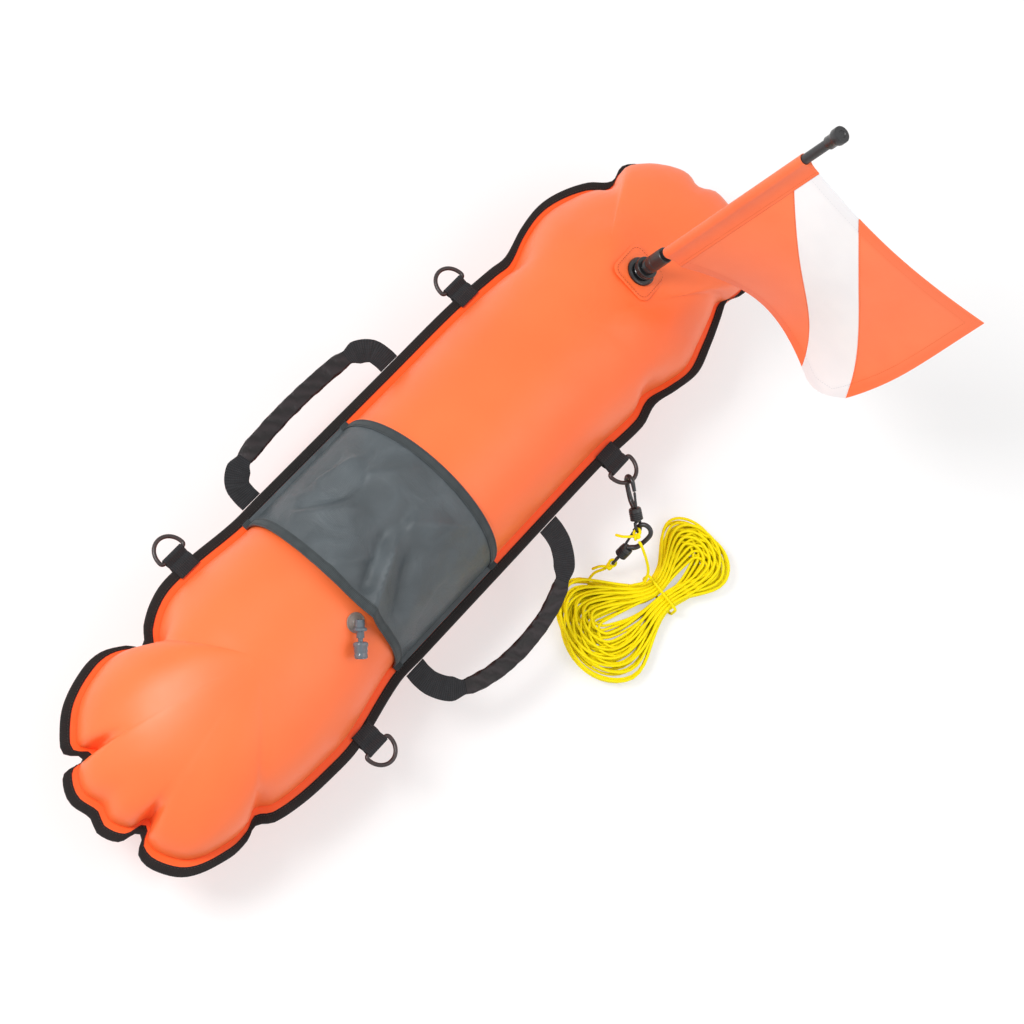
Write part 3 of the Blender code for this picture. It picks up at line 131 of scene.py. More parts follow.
def new_finish(name, colour, roughness, **sockets):
    """A material with its base colour, roughness and other sockets, and its node tree."""
    made = bpy.data.materials.new(name)
    made.use_nodes = True
    tree = made.node_tree
    shader = tree.nodes["Principled BSDF"]
    connect(tree, shader, {"Base Color": light(colour), "Roughness": roughness})
    connect(tree, shader, {socket.replace("_", " "): value for socket, value in sockets.items()})
    return made, tree


def pattern(tree, height, strength, depth, mask=None, dark=0, pale=0):
    """Press a pattern into a finish, and tint it from dark to pale by a mask."""
    shader = tree.nodes["Principled BSDF"]
    relief = add_node(tree, "ShaderNodeBump", {"Height": height, "Strength": strength, "Distance": depth})
    connect(tree, shader, {"Normal": relief})
    if mask:
        tint = add_node(tree, "ShaderNodeMix", {0: mask, 6: light(dark), 7: light(pale)},
                        data_type="RGBA")
        connect(tree, shader, {"Base Color": tint})
        return tint


def marked(tree, name, tint, colour):
    """Lay one colour over a tint where an attribute marks the cloth."""
    mark = add_node(tree, "ShaderNodeAttribute", attribute_name=name)
    whole = add_node(tree, "ShaderNodeMix", {0: mark, 6: tint, 7: light(colour)}, data_type="RGBA")
    connect(tree, tree.nodes["Principled BSDF"], {"Base Color": whole})


def woven(tree, scale, operation):
    """Warp and weft that cross on the flat cloth."""
    flat = add_node(tree, "ShaderNodeUVMap", uv_map="cut")
    threads = [add_node(tree, "ShaderNodeTexWave", {"Vector": flat, "Scale": scale}, wave_type="BANDS",
                        bands_direction=way) for way in ("X", "Y")]
    return add_node(tree, "ShaderNodeMath", dict(enumerate(threads)), operation=operation)


def loft(rings, closed=False):
    """Points, faces and corner places, metres along and round, of a skin over rings."""
    rows, count = len(rings), len(rings[0])
    table = np.array([[tuple(p) for p in ring] for ring in rings])
    middle = table.mean(axis=1)
    along = np.concatenate([[0], np.cumsum(np.linalg.norm(np.roll(middle, -1, 0) - middle, axis=1))])
    side = np.linalg.norm(np.roll(table, -1, 1) - table, axis=2)
    around = np.concatenate([np.zeros((rows, 1)), np.cumsum(side, axis=1)], axis=1)
    faces, places = [], []
    for r in range(rows if closed else rows - 1):
        s = (r + 1) % rows
        for i in range(count):
            j = (i + 1) % count
            faces.append((r * count + i, r * count + j, s * count + j, s * count + i))
            places += [(along[r], around[r][i]), (along[r], around[r][i + 1]),
                       (along[r + 1], around[s][i + 1]), (along[r + 1], around[s][i])]
    if not closed:
        faces += [tuple(range(count)), tuple(range((rows - 1) * count, rows * count))]
        places += [(along[0], around[0][i]) for i in range(count)]
        places += [(along[rows - 1], around[rows - 1][i]) for i in range(count)]
    return [p for ring in rings for p in ring], faces, places


def merged(*parts):
    """Several lofts as one set of points, faces and corner places."""
    points, faces, places = [], [], []
    for more_points, more_faces, more_places in parts:
        start = len(points)
        faces += [tuple(i + start for i in face) for face in more_faces]
        points += more_points
        places += more_places
    return points, faces, places


def show(name, data):
    """A new object in the scene."""
    made = bpy.data.objects.new(name, data)
    bpy.context.scene.collection.objects.link(made)
    return made


def settle(name, mesh, body):
    """A mesh as a visible piece that rides on a body."""
    made = show(name, mesh)
    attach(made, body)
    return made


def add_piece(name, solid, finish, body, stands_for, sharp=40):
    """A mesh piece from a loft, on its body, in place of the solids that it stands for."""
    points, faces, places = solid
    mesh = bpy.data.meshes.new(name)
    mesh.from_pydata([tuple(p) for p in points], [], faces)
    layer = mesh.uv_layers.new(name="cut")
    layer.data.foreach_set("uv", np.array(places, np.float32).ravel())
    worker = bmesh.new()
    worker.from_mesh(mesh)
    bmesh.ops.recalc_face_normals(worker, faces=worker.faces)
    bmesh.ops.triangulate(worker, faces=[f for f in worker.faces if len(f.verts) > 4])
    worker.to_mesh(mesh)
    worker.free()
    mesh.shade_smooth()
    mesh.set_sharp_from_angle(angle=math.radians(sharp))
    mesh.materials.append(finish)
    made = settle(name, mesh, body)
    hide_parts(*stands_for)
    return made


def ease(share):
    """A smooth step from 0 to 1."""
    share = min(max(share, 0.0), 1.0)
    return share * share * (3 - 2 * share)


def hermite(a, b, leave, arrive, share):
    """A point on the curve from a to b with the given end tangents."""
    s2, s3 = share ** 2, share ** 3
    return (a * (2 * s3 - 3 * s2 + 1) + leave * (s3 - 2 * s2 + share)
            + b * (3 * s2 - 2 * s3) + arrive * (s3 - s2))


def outline():
    """The outer edge of the welded flange, in plan."""
    corners = [Vector((x * HALF_LENGTH, y * HALF_WIDTH, 0)) for x, y in OUTLINE_SHARES]
    total = len(corners)
    result = []
    for i, a in enumerate(corners):
        b = corners[(i + 1) % total]
        span = (b - a).length
        leave = (b - corners[i - 1]).normalized() * span
        arrive = (corners[(i + 2) % total] - a).normalized() * span
        steps = max(2, round(span / STATION))
        result += [hermite(a, b, leave, arrive, k / steps) for k in range(steps)]
    return result


def spine_point(p):
    """The nearest point of the tube's middle line."""
    return Vector((min(max(p.x, SPINE_TAIL), SPINE_NOSE), 0, 0))


def soft_radii(inset):
    """How far the seam would lie from the middle line without its lobes, for each point."""
    far = np.array([(p - spine_point(p)).length - inset for p in edge])
    reach = round(LOBE_SPAN / STATION)
    weights = np.exp(-(np.arange(-3 * reach, 3 * reach + 1) / reach) ** 2)
    padded = np.concatenate([far[-3 * reach:], far, far[:3 * reach]])
    return np.convolve(padded, weights / weights.sum(), "valid")


def tuck_at(p):
    """How strongly the seam is drawn in at a point of the outline, 0 to 1."""
    return max(math.exp(-((p.x - x * HALF_LENGTH) ** 2 + (p.y - y * HALF_WIDTH) ** 2) / TUCK_WIDTH ** 2)
               for x, y in TUCK_SHARES)


def at_end(p):
    """0 along the straight sides and 1 round the lobed ends."""
    return ease(max(SPINE_TAIL - p.x, p.x - SPINE_NOSE) / END_BLEND)


def flange_wave(p):
    """How far the air bends the flat flange up or down."""
    return WAVE_HEIGHT * at_end(p) * noise.noise(Vector((p.x * 24, p.y * 24, 5.3)))


def small_tucks(p, angle):
    """Fine tucks that run in from the welded seam and fade up the tube."""
    fold = noise.noise(Vector((p.x * 62, p.y * 62, 1.7))) + 0.5 * noise.noise(p * 140)
    return (SIDE_FOLD + END_FOLD * at_end(p)) * (1 + tuck_at(p)) * fold * math.exp(-angle / FOLD_FADE)


def skin_ring(angle, wall, side):
    """One ring of a skin at a seam angle, a wall's thickness inside its outer face."""
    ring = []
    plain = math.cos(math.radians(angle))
    near_seam = ease((plain - 1 + TUCK_REACH) / TUCK_REACH)
    for p, soft in zip(edge, soft_radii(FLANGE_WIDTH + wall)):
        spine = spine_point(p)
        seam = p + (spine - p).normalized() * (FLANGE_WIDTH + wall)
        swell = NOSE_SWELL * ease((p.x - SPINE_NOSE) / NOSE_TAPER * 2 - 1)
        far = near_seam + (1 - near_seam) * soft / (seam - spine).length
        bulge = swell * max(math.sin(math.radians(3 * angle)), 0)
        q = spine + (seam - spine) * (plain * far + bulge)
        crease = TUCK_DEPTH * tuck_at(p) * near_seam
        rise = (TUBE_HEIGHT / 2 - wall) * math.sin(math.radians(angle)) * (1 - crease)
        rise += small_tucks(p, angle) * ease(angle / 6)
        low = GAP / 2 if wall > 0 else FLANGE_TOP
        height = max(rise, low) if side > 0 else max(-max(rise, low), wall - SEAM_HEIGHT)
        wave = flange_wave(p) * math.exp(-angle / WAVE_FADE)
        ring.append(Vector((q.x, q.y, SEAM_HEIGHT + height + wave)))
    return ring


def flange_ring(height):
    """The flange's own edge, just inside the binding."""
    ring = []
    for p in edge:
        q = p + (spine_point(p) - p).normalized() * (BINDING_THICKNESS + GAP)
        ring.append(Vector((q.x, q.y, SEAM_HEIGHT + height + flange_wave(p))))
    return ring


def dented(ring, wall):
    """Points of the upper skin drawn to the plane of the pole's patch, or to the tube's top where
    that plane rises past it."""
    result = []
    for p in ring:
        away = math.hypot(p.x - SEAT.x, p.y - SEAT.y)
        weight = 1 - ease((away - SEAT_FLAT) / SEAT_BLEND) if p.z > SEAM_HEIGHT + TUBE_HEIGHT / 4 else 0
        tilt = ((p.x - SEAT.x) * POLE_AXIS.x + (p.y - SEAT.y) * POLE_AXIS.y) / POLE_AXIS.z
        plane = min(SEAT.z - tilt, SEAM_HEIGHT + TUBE_HEIGHT / 2)
        result.append(Vector((p.x, p.y, p.z + weight * (plane - wall - p.z))))
    return result


def cut_places(rings):
    """Where each point of a skin lay on the flat cloth that it was cut from."""
    table = np.array([[tuple(p) for p in ring] for ring in rings])
    steps = np.linalg.norm(np.diff(table, axis=0), axis=2)
    out = np.concatenate([np.cumsum(steps[::-1], axis=0)[::-1], np.zeros((1, len(edge)))]) + LAST_RING
    result = []
    for row in out:
        for p, far in zip(edge, row):
            spine = spine_point(p)
            way = (p - spine).normalized()
            result.append((spine.x + way.x * far, spine.y + way.y * far))
    return result


def coated_nylon():
    """PVC-coated nylon, calendered smooth: satin, with the weave just showing through and
    a more vivid, flatter orange on the welded flange, partly the doubled cloth and partly painted shade."""
    made, tree = new_finish("pvc_coated_nylon", 0xFF7A42, 0.42)
    place = add_node(tree, "ShaderNodeTexCoord").outputs["Object"]
    # The coating pools unevenly over hands' widths, 120 mm across.
    pooled = add_node(tree, "ShaderNodeTexNoise", {"Vector": place, "Scale": 8.0, "Detail": 2.0})
    # Threads stand 0.5 mm apart in the cloth, drawn at 1.3 mm so that a close view shows them.
    weave = woven(tree, 240.0, "ADD")
    # Handling leaves soft dimples about 25 mm apart.
    dimples = add_node(tree, "ShaderNodeTexNoise", {"Vector": place, "Scale": 40.0, "Detail": 3.0})
    grain = add_node(tree, "ShaderNodeMath", {0: dimples, 1: 8.0, 2: weave}, operation="MULTIPLY_ADD")
    shade = pattern(tree, grain, 0.35, 0.00012, pooled, 0xFF6A30, 0xFF7C42)
    # The welded flange is a deeper orange: partly the doubled cloth, partly painted shade.
    marked(tree, "weld_and_shade", shade, 0xFF5C0A)
    gloss = add_node(tree, "ShaderNodeMapRange", {"Value": dimples, "To Min": 0.34, "To Max": 0.50})
    connect(tree, tree.nodes["Principled BSDF"], {"Roughness": gloss})
    return made


BINDING_THICKNESS = 0.001
edge = outline()
skin_finish = coated_nylon()
for name, side in (("upper", 1), ("lower", -1)):
    outer = [flange_ring(side * FLANGE_TOP)] + [skin_ring(a, 0, side) for a in SKIN_ANGLES]
    inner = [skin_ring(a, SKIN_WALL, side) for a in INNER_ANGLES] + [flange_ring(side * GAP / 2)]
    if side > 0:
        outer = [dented(ring, 0) for ring in outer[:-1]] + outer[-1:]
        inner = inner[:1] + [dented(ring, SKIN_WALL) for ring in inner[1:]]
    points, faces, _ = loft(inner + outer)
    count = len(edge)
    inside = cut_places(inner[::-1])
    flat = [inside[(len(inner) - 1 - r) * count + i]
            for r in range(len(inner)) for i in range(count)] + cut_places(outer)
    places = [flat[i] for face in faces for i in face]
    skin = add_piece(name + "_skin", (points, faces, places), skin_finish, "float",
                     [name + "_panel"], 60)
    # The flange and the first ring of the tube take the full mark, partly the doubled cloth's colour and
    # partly painted shade, and the second ring half of it.
    shares = [0.0] * len(inner) + [1.0, 1.0, 0.45] + [0.0] * (len(outer) - 3)
    weld_and_shade = skin.data.attributes.new("weld_and_shade", "FLOAT", "POINT")
    weld_and_shade.data.foreach_set("value", np.repeat(shares, count))


# Edge binding
# A woven polyester tape, folded over the welded flange and sewn through with one row of
# stitches. It runs round the lobes in one piece.

BINDING_WIDTH = 0.010
BINDING_OUTER = 0.00225
BINDING_INNER = 0.00125


def arc(turns, wide, high=None, centre=(0, 0)):
    """Points of a circle or an oval at the given turns, in degrees."""
    high = wide if high is None else high
    return [(centre[0] + wide * math.cos(math.radians(t)), centre[1] + high * math.sin(math.radians(t)))
            for t in turns]


upper_side = [(BINDING_WIDTH - 0.0003, BINDING_OUTER * 0.93), (BINDING_WIDTH * 0.7, BINDING_OUTER)]
binding_section = upper_side + arc(range(80, -81, -20), -BINDING_OUTER, BINDING_OUTER, (BINDING_OUTER, 0))
binding_section += [(a, -b) for a, b in upper_side[::-1]]
binding_section += [(BINDING_WIDTH, -BINDING_INNER), (BINDING_THICKNESS, -BINDING_INNER),
                    (BINDING_THICKNESS, BINDING_INNER), (BINDING_WIDTH, BINDING_INNER)]


def on_flange(p, inset, height):
    """A point over or under the flange, an inset in from its outer edge."""
    inward = (spine_point(p) - p).normalized()
    return p + inward * inset + Z_AXIS * (SEAM_HEIGHT + height + flange_wave(p))


def ribbed_tape(name, colour, shade, rib, depth):
    """Woven tape: ribs across its length from the weft, dull, with lint in the hollows."""
    made, tree = new_finish(name, colour, 0.82, Sheen_Weight=0.08, Specular_IOR_Level=0.3)
    flat = add_node(tree, "ShaderNodeUVMap", uv_map="cut")
    ribs, warp = [add_node(tree, "ShaderNodeTexWave", {"Vector": flat, "Scale": math.pi / (10 * step)},
                           wave_type="BANDS", bands_direction=way)
                  for step, way in ((rib, "X"), (rib * 0.8, "Y"))]
    weave = add_node(tree, "ShaderNodeMath", {0: warp, 1: 0.5, 2: ribs}, operation="MULTIPLY_ADD")
    place = add_node(tree, "ShaderNodeTexCoord").outputs["Object"]
    lint = add_node(tree, "ShaderNodeTexNoise", {"Vector": place, "Scale": 90.0, "Detail": 4.0})
    shown = add_node(tree, "ShaderNodeMath", {0: weave, 1: lint}, operation="MULTIPLY")
    pattern(tree, weave, 0.6, depth, shown, colour, shade)
    return made


# The ribs stand 0.9 mm apart, drawn at 1.8 mm so that they show.
binding_tape = ribbed_tape("grosgrain_tape", 0x120E0E, 0x262120, 0.0018, 0.0003)
rings = [[on_flange(p, inset, height) for inset, height in binding_section] for p in edge]
add_piece("edge_tape", loft(rings, True), binding_tape, "float", ["edge_binding"], 50)


def stitch_tree():
    """A node tree that sets a row of stitches along each line of a curve."""
    tree = bpy.data.node_groups.new("running_stitch", "GeometryNodeTree")
    for name, kind in (("Line", "Geometry"), ("Pitch", "Float"), ("Length", "Float"),
                       ("Thread Radius", "Float"), ("Thread", "Material")):
        tree.interface.new_socket(name=name, in_out="INPUT", socket_type="NodeSocket" + kind)
    tree.interface.new_socket(name="Stitches", in_out="OUTPUT", socket_type="NodeSocketGeometry")
    given = tree.nodes.new("NodeGroupInput").outputs
    along = add_node(tree, "GeometryNodeCurveToPoints", {"Curve": given["Line"], "Length": given["Pitch"]},
                     mode="LENGTH")
    half = add_node(tree, "ShaderNodeMath", {0: given["Length"], 1: 0.5}, operation="MULTIPLY")
    size = add_node(tree, "ShaderNodeCombineXYZ",
                    {0: given["Thread Radius"], 1: given["Thread Radius"], 2: half})
    bead = add_node(tree, "GeometryNodeMeshUVSphere", {"Segments": 6, "Rings": 5, "Radius": 1.0})
    stitch = add_node(tree, "GeometryNodeTransform", {"Geometry": bead, "Scale": size})
    row = add_node(tree, "GeometryNodeInstanceOnPoints",
                   {"Points": along, "Instance": stitch, "Rotation": along.outputs["Rotation"]})
    real = add_node(tree, "GeometryNodeRealizeInstances", {"Geometry": row})
    soft = add_node(tree, "GeometryNodeSetShadeSmooth", {"Geometry": real})
    sewn = add_node(tree, "GeometryNodeSetMaterial", {"Geometry": soft, "Material": given["Thread"]})
    add_node(tree, "NodeGroupOutput", {0: sewn})
    return tree


STITCHES = stitch_tree()
# The thread lies this far over the cloth.
THREAD_LIFT = 0.0001


def sew(name, lines, thread, body, slot, pitch=0.0032, length=0.0024, radius=0.00035):
    """Rows of stitches along open lines of points, kept as one mesh on a body."""
    curve = bpy.data.curves.new(name + "_line", "CURVE")
    curve.dimensions = "3D"
    for line in lines:
        spline = curve.splines.new("POLY")
        spline.points.add(len(line) - 1)
        for target, p in zip(spline.points, line):
            target.co = (*p, 1.0)
    holder = show(name + "_line", curve)
    rows = holder.modifiers.new("stitches", "NODES")
    rows.node_group = STITCHES
    given = {"Pitch": pitch, "Length": length, "Thread Radius": radius, "Thread": thread}
    for item in STITCHES.interface.items_tree:
        if item.in_out == "INPUT" and item.name in given:
            rows[item.identifier] = given[item.name]
    graph = bpy.context.evaluated_depsgraph_get()
    mesh = bpy.data.meshes.new_from_object(holder.evaluated_get(graph))
    bpy.data.objects.remove(holder)
    return settle(name, mesh, body)


def uneven(name, colour, roughness, relief, tints=(), **sockets):
    """A finish that is lumpy at one scale, from its scale, detail, strength and depth."""
    scale, detail, strength, depth = relief
    made, tree = new_finish(name, colour, roughness, **sockets)
    place = add_node(tree, "ShaderNodeTexCoord").outputs["Object"]
    lumps = add_node(tree, "ShaderNodeTexNoise", {"Vector": place, "Scale": scale, "Detail": detail})
    pattern(tree, lumps, strength, depth, tints and lumps, *tints)
    return made


def thread_finish(name, colour):
    """Spun polyester thread: matt, with the twist of its plies."""
    return uneven(name, colour, 0.7, (1600.0, 1.0, 0.5, 0.0001))


black_thread = thread_finish("black_thread", 0x2E2826)
loop = edge + edge[:1]
sew("binding_stitches", [[on_flange(p, 0.0080, side * (BINDING_OUTER + THREAD_LIFT)) for p in loop]
                         for side in (1, -1)], black_thread, "float", "black_tape")


# Cargo pocket
# A band of coated grey cloth sewn into the seam on both sides, closed towards the nose and
# open towards the tail, with a folded tape along both edges. It hangs slack at the mouth.

POCKET_MOUTH_X = -0.125
POCKET_MOUTH_BOW = 0.012
POCKET_CLOSED_X = 0.029
POCKET_GAPE = 0.012
POCKET_CLOTH = 0.0008
POCKET_RIPPLE = 0.0012
HEM_WIDTH = 0.009
HEM_THICKNESS = 0.0007
ON_FLANGE = 0.0050
POCKET_COLUMNS = 110
POCKET_ROWS = 44
# Folds of the slack cloth: two ends, each as share and cosine across, height and half width.
POCKET_FOLDS = (
    ((-0.10, -0.50), (0.57, -0.09), 0.0110, 0.075),
    ((0.05, -0.30), (0.56, 0.04), -0.0080, 0.080),
    ((0.10, -0.70), (0.54, -0.26), -0.0080, 0.070),
    ((0.55, -0.10), (0.88, -0.62), 0.0090, 0.085),
    ((0.12, 0.72), (0.50, 0.22), 0.0060, 0.060),
    ((0.22, 0.76), (0.54, 0.38), -0.0070, 0.070),
    ((0.30, 0.92), (0.74, 0.82), -0.0080, 0.070),
    ((0.38, 0.76), (0.80, 0.60), 0.0070, 0.075),
    ((0.62, 0.50), (0.92, 0.08), 0.0060, 0.085),
    ((0.04, 0.14), (0.32, -0.16), 0.0050, 0.055),
    ((0.20, -0.93), (0.62, -0.80), -0.0060, 0.060),
)


def fold_height(share, across):
    """How far the slack cloth's creases lift or lower the pocket's cloth at a place."""
    total = 0.0
    for (s0, y0), (s1, y1), height, wide in POCKET_FOLDS:
        run_s, run_y = s1 - s0, y1 - y0
        t = ((share - s0) * run_s + (across - y0) * run_y) / (run_s ** 2 + run_y ** 2)
        t = min(max(t, 0.0), 1.0)
        away = math.hypot(share - s0 - t * run_s, across - y0 - t * run_y)
        ends = ease(t / 0.15) * ease((1 - t) / 0.35) if s0 > 0 else ease((1 - t) / 0.35)
        total += height * ends * math.exp(-(away / wide) ** 1.3)
    total += POCKET_RIPPLE * noise.noise(Vector((share * 7, across * 8, 2.2)))
    return total


def pocket_place(share, angle, lift):
    """A point of the pocket at a share from mouth to closed edge and an angle over the tube."""
    rise_share = max(math.sin(angle), 0)
    mouth_x = POCKET_MOUTH_X - POCKET_MOUTH_BOW * rise_share ** 2
    x = mouth_x + (POCKET_CLOSED_X - mouth_x) * share
    slack = ease(rise_share * 1.6) * ease((1 - share) / 0.12)
    gape = POCKET_GAPE * (1 - ease(share)) * rise_share ** 2
    stand = GAP + HEM_THICKNESS + max(gape + slack * fold_height(share, math.cos(angle)), 0) + lift
    half = HALF_WIDTH - FLANGE_WIDTH + stand
    rise = max((TUBE_HEIGHT / 2 + stand) * math.sin(angle), FLANGE_TOP + GAP + lift)
    return Vector((x, half * math.cos(angle), SEAM_HEIGHT + rise))


def pocket_strip(shares, lift, thickness):
    """A strip of cloth over the tube from seam to seam, as a loft."""
    columns = []
    for j in range(POCKET_COLUMNS + 1):
        angle = math.pi * j / POCKET_COLUMNS
        columns.append([pocket_place(s, angle, lift + layer)
                        for layer, way in ((0, 1), (thickness, -1)) for s in shares[::way]])
    # Both ends lie on the welded flange, up to the binding.
    for end, way in ((0, 1), (-1, -1)):
        last = columns[end]
        for k in (1, 2, 3):
            more = [p + Y_AXIS * way * ON_FLANGE * k / 3 for p in last]
            columns.insert(0 if end == 0 else len(columns), more)
    return loft(columns)


def coated_cloth():
    """Grey polyester coated on the back: tight plain weave with a soft, slightly wet sheen."""
    made, tree = new_finish("coated_grey_polyester", 0x464E52, 0.36)
    place = add_node(tree, "ShaderNodeTexCoord").outputs["Object"]
    # Threads 0.4 mm apart in the cloth, drawn at 1.2 mm.
    weave = woven(tree, 262.0, "MULTIPLY")
    # Creases from packing, 15 to 60 mm long, also painted as shade in their hollows and as light on their
    # ridges.
    creases_and_shade = add_node(tree, "ShaderNodeTexNoise",
                       {"Vector": place, "Scale": 26.0, "Detail": 4.0, "Distortion": 0.6})
    height = add_node(tree, "ShaderNodeMath", {0: creases_and_shade, 1: 14.0, 2: weave}, operation="MULTIPLY_ADD")
    # Painted shade and painted light: the cloth is darker grey where the creases sink and paler where they
    # rise.
    pattern(tree, height, 0.7, 0.0003, creases_and_shade, 0x33393C, 0x545D62)
    return made


shares = [i / POCKET_ROWS for i in range(POCKET_ROWS + 1)]
pocket = add_piece("pocket_cloth", pocket_strip(shares, 0, POCKET_CLOTH), coated_cloth(), "float",
                   ["pocket_panel"])
hem_tape = ribbed_tape("grey_hem_tape", 0x2F3436, 0x4C5254, 0.0015, 0.0002)
hem_share = HEM_WIDTH / (POCKET_CLOSED_X - POCKET_MOUTH_X)
over = POCKET_CLOTH + GAP
for name, first in (("mouth", 0.0), ("closed", 1 - hem_share)):
    shares = [first + hem_share * i / 4 for i in range(5)]
    add_piece(f"pocket_{name}_tape", pocket_strip(shares, over, HEM_THICKNESS),
                                 hem_tape, "float", [f"pocket_hem_{name}"])
grey_thread = thread_finish("grey_thread", 0x2B2F31)
rows = [first + hem_share * inside for first in (0.0, 1 - hem_share) for inside in (0.18, 0.82)]
sew("pocket_stitches", [
    [pocket_place(s, math.radians(a), over + HEM_THICKNESS + THREAD_LIFT) for a in range(4, 177)]
    for s in rows], grey_thread, "float", "grey_tape", radius=0.0003)


# Inflation valve
# A soft clear disc welded on the skin, a clear stem with a shoulder ring, and a mouthpiece
# that is pushed in to let air pass and pulled out to seal. All are moulded in clear plastics.

VALVE_FOOT = Vector((-0.144, -0.043, 0.17378))
VALVE_START = Vector((-0.14176, -0.04438, 0.18236))
VALVE_AIM = Vector((-0.66009, -0.7101, -0.24503)).normalized()
VALVE_NORMAL = (VALVE_START - VALVE_FOOT + VALVE_AIM * 0.003).normalized()
STEM_LENGTH = 0.0175
VALVE_TRAVEL = 0.003


def placed(origin, axis, hint):
    """A matrix whose Z runs along axis and whose X leans towards hint."""
    z = axis.normalized()
    x = (hint - z * hint.dot(z)).normalized()
    made = Matrix((x, z.cross(x), z)).transposed().to_4x4()
    made.translation = origin
    return made


def circle(centre, side, up, radius, count):
    """A ring of points round a centre, in the plane of two unit vectors."""
    turns = [2 * math.pi * i / count for i in range(count)]
    return [centre + side * radius * math.cos(t) + up * radius * math.sin(t) for t in turns]


def turned(profile, place, count, closed=False):
    """A solid of revolution about the Z axis of a matrix, from (radius, height) pairs."""
    rings = [circle(Vector((0, 0, h)), X_AXIS, Y_AXIS, r, count) for r, h in profile]
    points, faces, places = loft(rings, closed)
    return [place @ p for p in points], faces, places


def clear_plastic(name, colour, roughness, through):
    """Clear moulded plastic: glossy, half see-through, with faint flow lines from the mould."""
    return uneven(name, colour, roughness, (260.0, 1.0, 0.2, 0.0001), Transmission_Weight=through,
                  IOR=1.49)


soft_clear = clear_plastic("soft_clear_pvc", 0xB9B0A8, 0.3, 0.6)
hard_clear = clear_plastic("smoked_clear_plastic", 0x77828C, 0.10, 0.45)
level = placed(VALVE_FOOT + VALVE_NORMAL * 0.0006, VALVE_NORMAL, X_AXIS)
disc = [(0.0098, 0), (0.0100, 0.0003), (0.0097, 0.0008), (0.0088, 0.0010), (0.0080, 0.0007),
        (0.0072, 0.0010), (0.0046, 0.0012), (0.0036, 0.0020), (0.0034, 0.0029)]
add_piece("valve_disc", turned(disc, level, 40), soft_clear, "float", ["valve_flange"])
place = placed(VALVE_START, VALVE_AIM, VALVE_NORMAL)
stem = [(0.0027, 0), (0.0043, 0), (0.0045, 0.0003), (0.0045, 0.0068), (0.0050, 0.0074),
        (0.0063, 0.0080), (0.0066, 0.0086), (0.0066, 0.0102), (0.0062, 0.0108), (0.0042, 0.0113),
        (0.0038, 0.0118), (0.0038, 0.0171), (0.0036, STEM_LENGTH), (0.0027, STEM_LENGTH)]
add_piece("valve_tube", turned(stem, place, 36, True), hard_clear, "float", ["valve_stem"])
out = place @ Matrix.Translation((0, 0, STEM_LENGTH + VALVE_TRAVEL + GAP))
mouthpiece = [(0.0011, 0.0165), (0.0047, 0.0165), (0.0058, 0.0160), (0.0064, 0.0149), (0.0065, 0.0125),
              (0.0062, 0.0117), (0.0062, 0.0104), (0.0065, 0.0096), (0.0065, 0.0058), (0.0072, 0.0040),
              (0.0073, 0.0034), (0.0073, 0.0018), (0.0069, 0.0011), (0.0052, 0), (0.0024, 0),
              (0.0024, -0.0151), (0.0011, -0.0151)]
add_piece("valve_mouth", turned(mouthpiece, out, 36, True), hard_clear, "valve_push",
          ["valve_mouthpiece"])
stopper = [(0.0022, 0), (0.0024, 0.0003), (0.0024, 0.0018), (0.0022, 0.0021)]
add_piece("valve_stopper", turned(stopper, place @ Matrix.Translation((0, 0, VALVE_TRAVEL + GAP)), 20),
          soft_clear, "valve_push", ["valve_poppet"])


# Nose patch and pole socket
# A square of the skin's own cloth is welded and sewn on to spread the pole's pull. A moulded
# black nylon socket is fixed on it, and a ring snaps round its neck.

socket_place = placed(SEAT, POLE_AXIS, X_AXIS)
PATCH_HALF = 0.025
PATCH_CORNER = 0.009
PATCH_LOW = 0.0006
PATCH_TOP = 0.0014
SOCKET_HEIGHT = 0.021


def rounded_box(wide, high, corner, points):
    """A rectangle of two half sizes with rounded corners, each drawn with some points."""
    ring = []
    for sx, sy, first in ((1, 1, 0), (-1, 1, 90), (-1, -1, 180), (1, -1, 270)):
        ring += arc(np.linspace(first, first + 90, points), corner, None,
                    (sx * (wide - corner), sy * (high - corner)))
    return ring


def on_patch(half, corner, height):
    """A rounded square at a height over the patch's seat."""
    return [socket_place @ Vector((a, b, height)) for a, b in rounded_box(half, half, corner, 7)]


patch_rings = [(PATCH_HALF, PATCH_LOW), (PATCH_HALF, PATCH_TOP - 0.0002),
               (PATCH_HALF - 0.0004, PATCH_TOP), (PATCH_HALF - 0.0040, PATCH_TOP),
               (PATCH_HALF - 0.0050, PATCH_TOP - 0.0002), (PATCH_HALF - 0.0060, PATCH_TOP)]
patch = loft([on_patch(half, PATCH_CORNER + half - PATCH_HALF + 0.001, height)
              for half, height in patch_rings])
add_piece("nose_patch", patch, skin_finish, "float", ["flag_patch"], 60)
rust_thread = thread_finish("rust_thread", 0xB8451C)
square = on_patch(PATCH_HALF - 0.0030, PATCH_CORNER, PATCH_TOP + THREAD_LIFT)
sew("patch_stitches", [square + square[:1]], rust_thread, "float", "orange_skin", radius=0.0003)


def moulded_plastic(name, colour, roughness):
    """Injection-moulded black nylon: glossy, with a faint spark-eroded grain and scuffs."""
    made = uneven(name, colour, roughness, (900.0, 2.0, 0.25, 0.00012), Coat_Weight=0.15,
                  Coat_Roughness=0.2)
    tree = made.node_tree
    place = add_node(tree, "ShaderNodeTexCoord").outputs["Object"]
    scuff = add_node(tree, "ShaderNodeTexNoise", {"Vector": place, "Scale": 120.0, "Detail": 4.0})
    worn = add_node(tree, "ShaderNodeMapRange", {"Value": scuff, "From Min": 0.35, "From Max": 0.7,
                                                 "To Min": roughness, "To Max": roughness + 0.2})
    connect(tree, tree.nodes["Principled BSDF"], {"Roughness": worn})
    return made


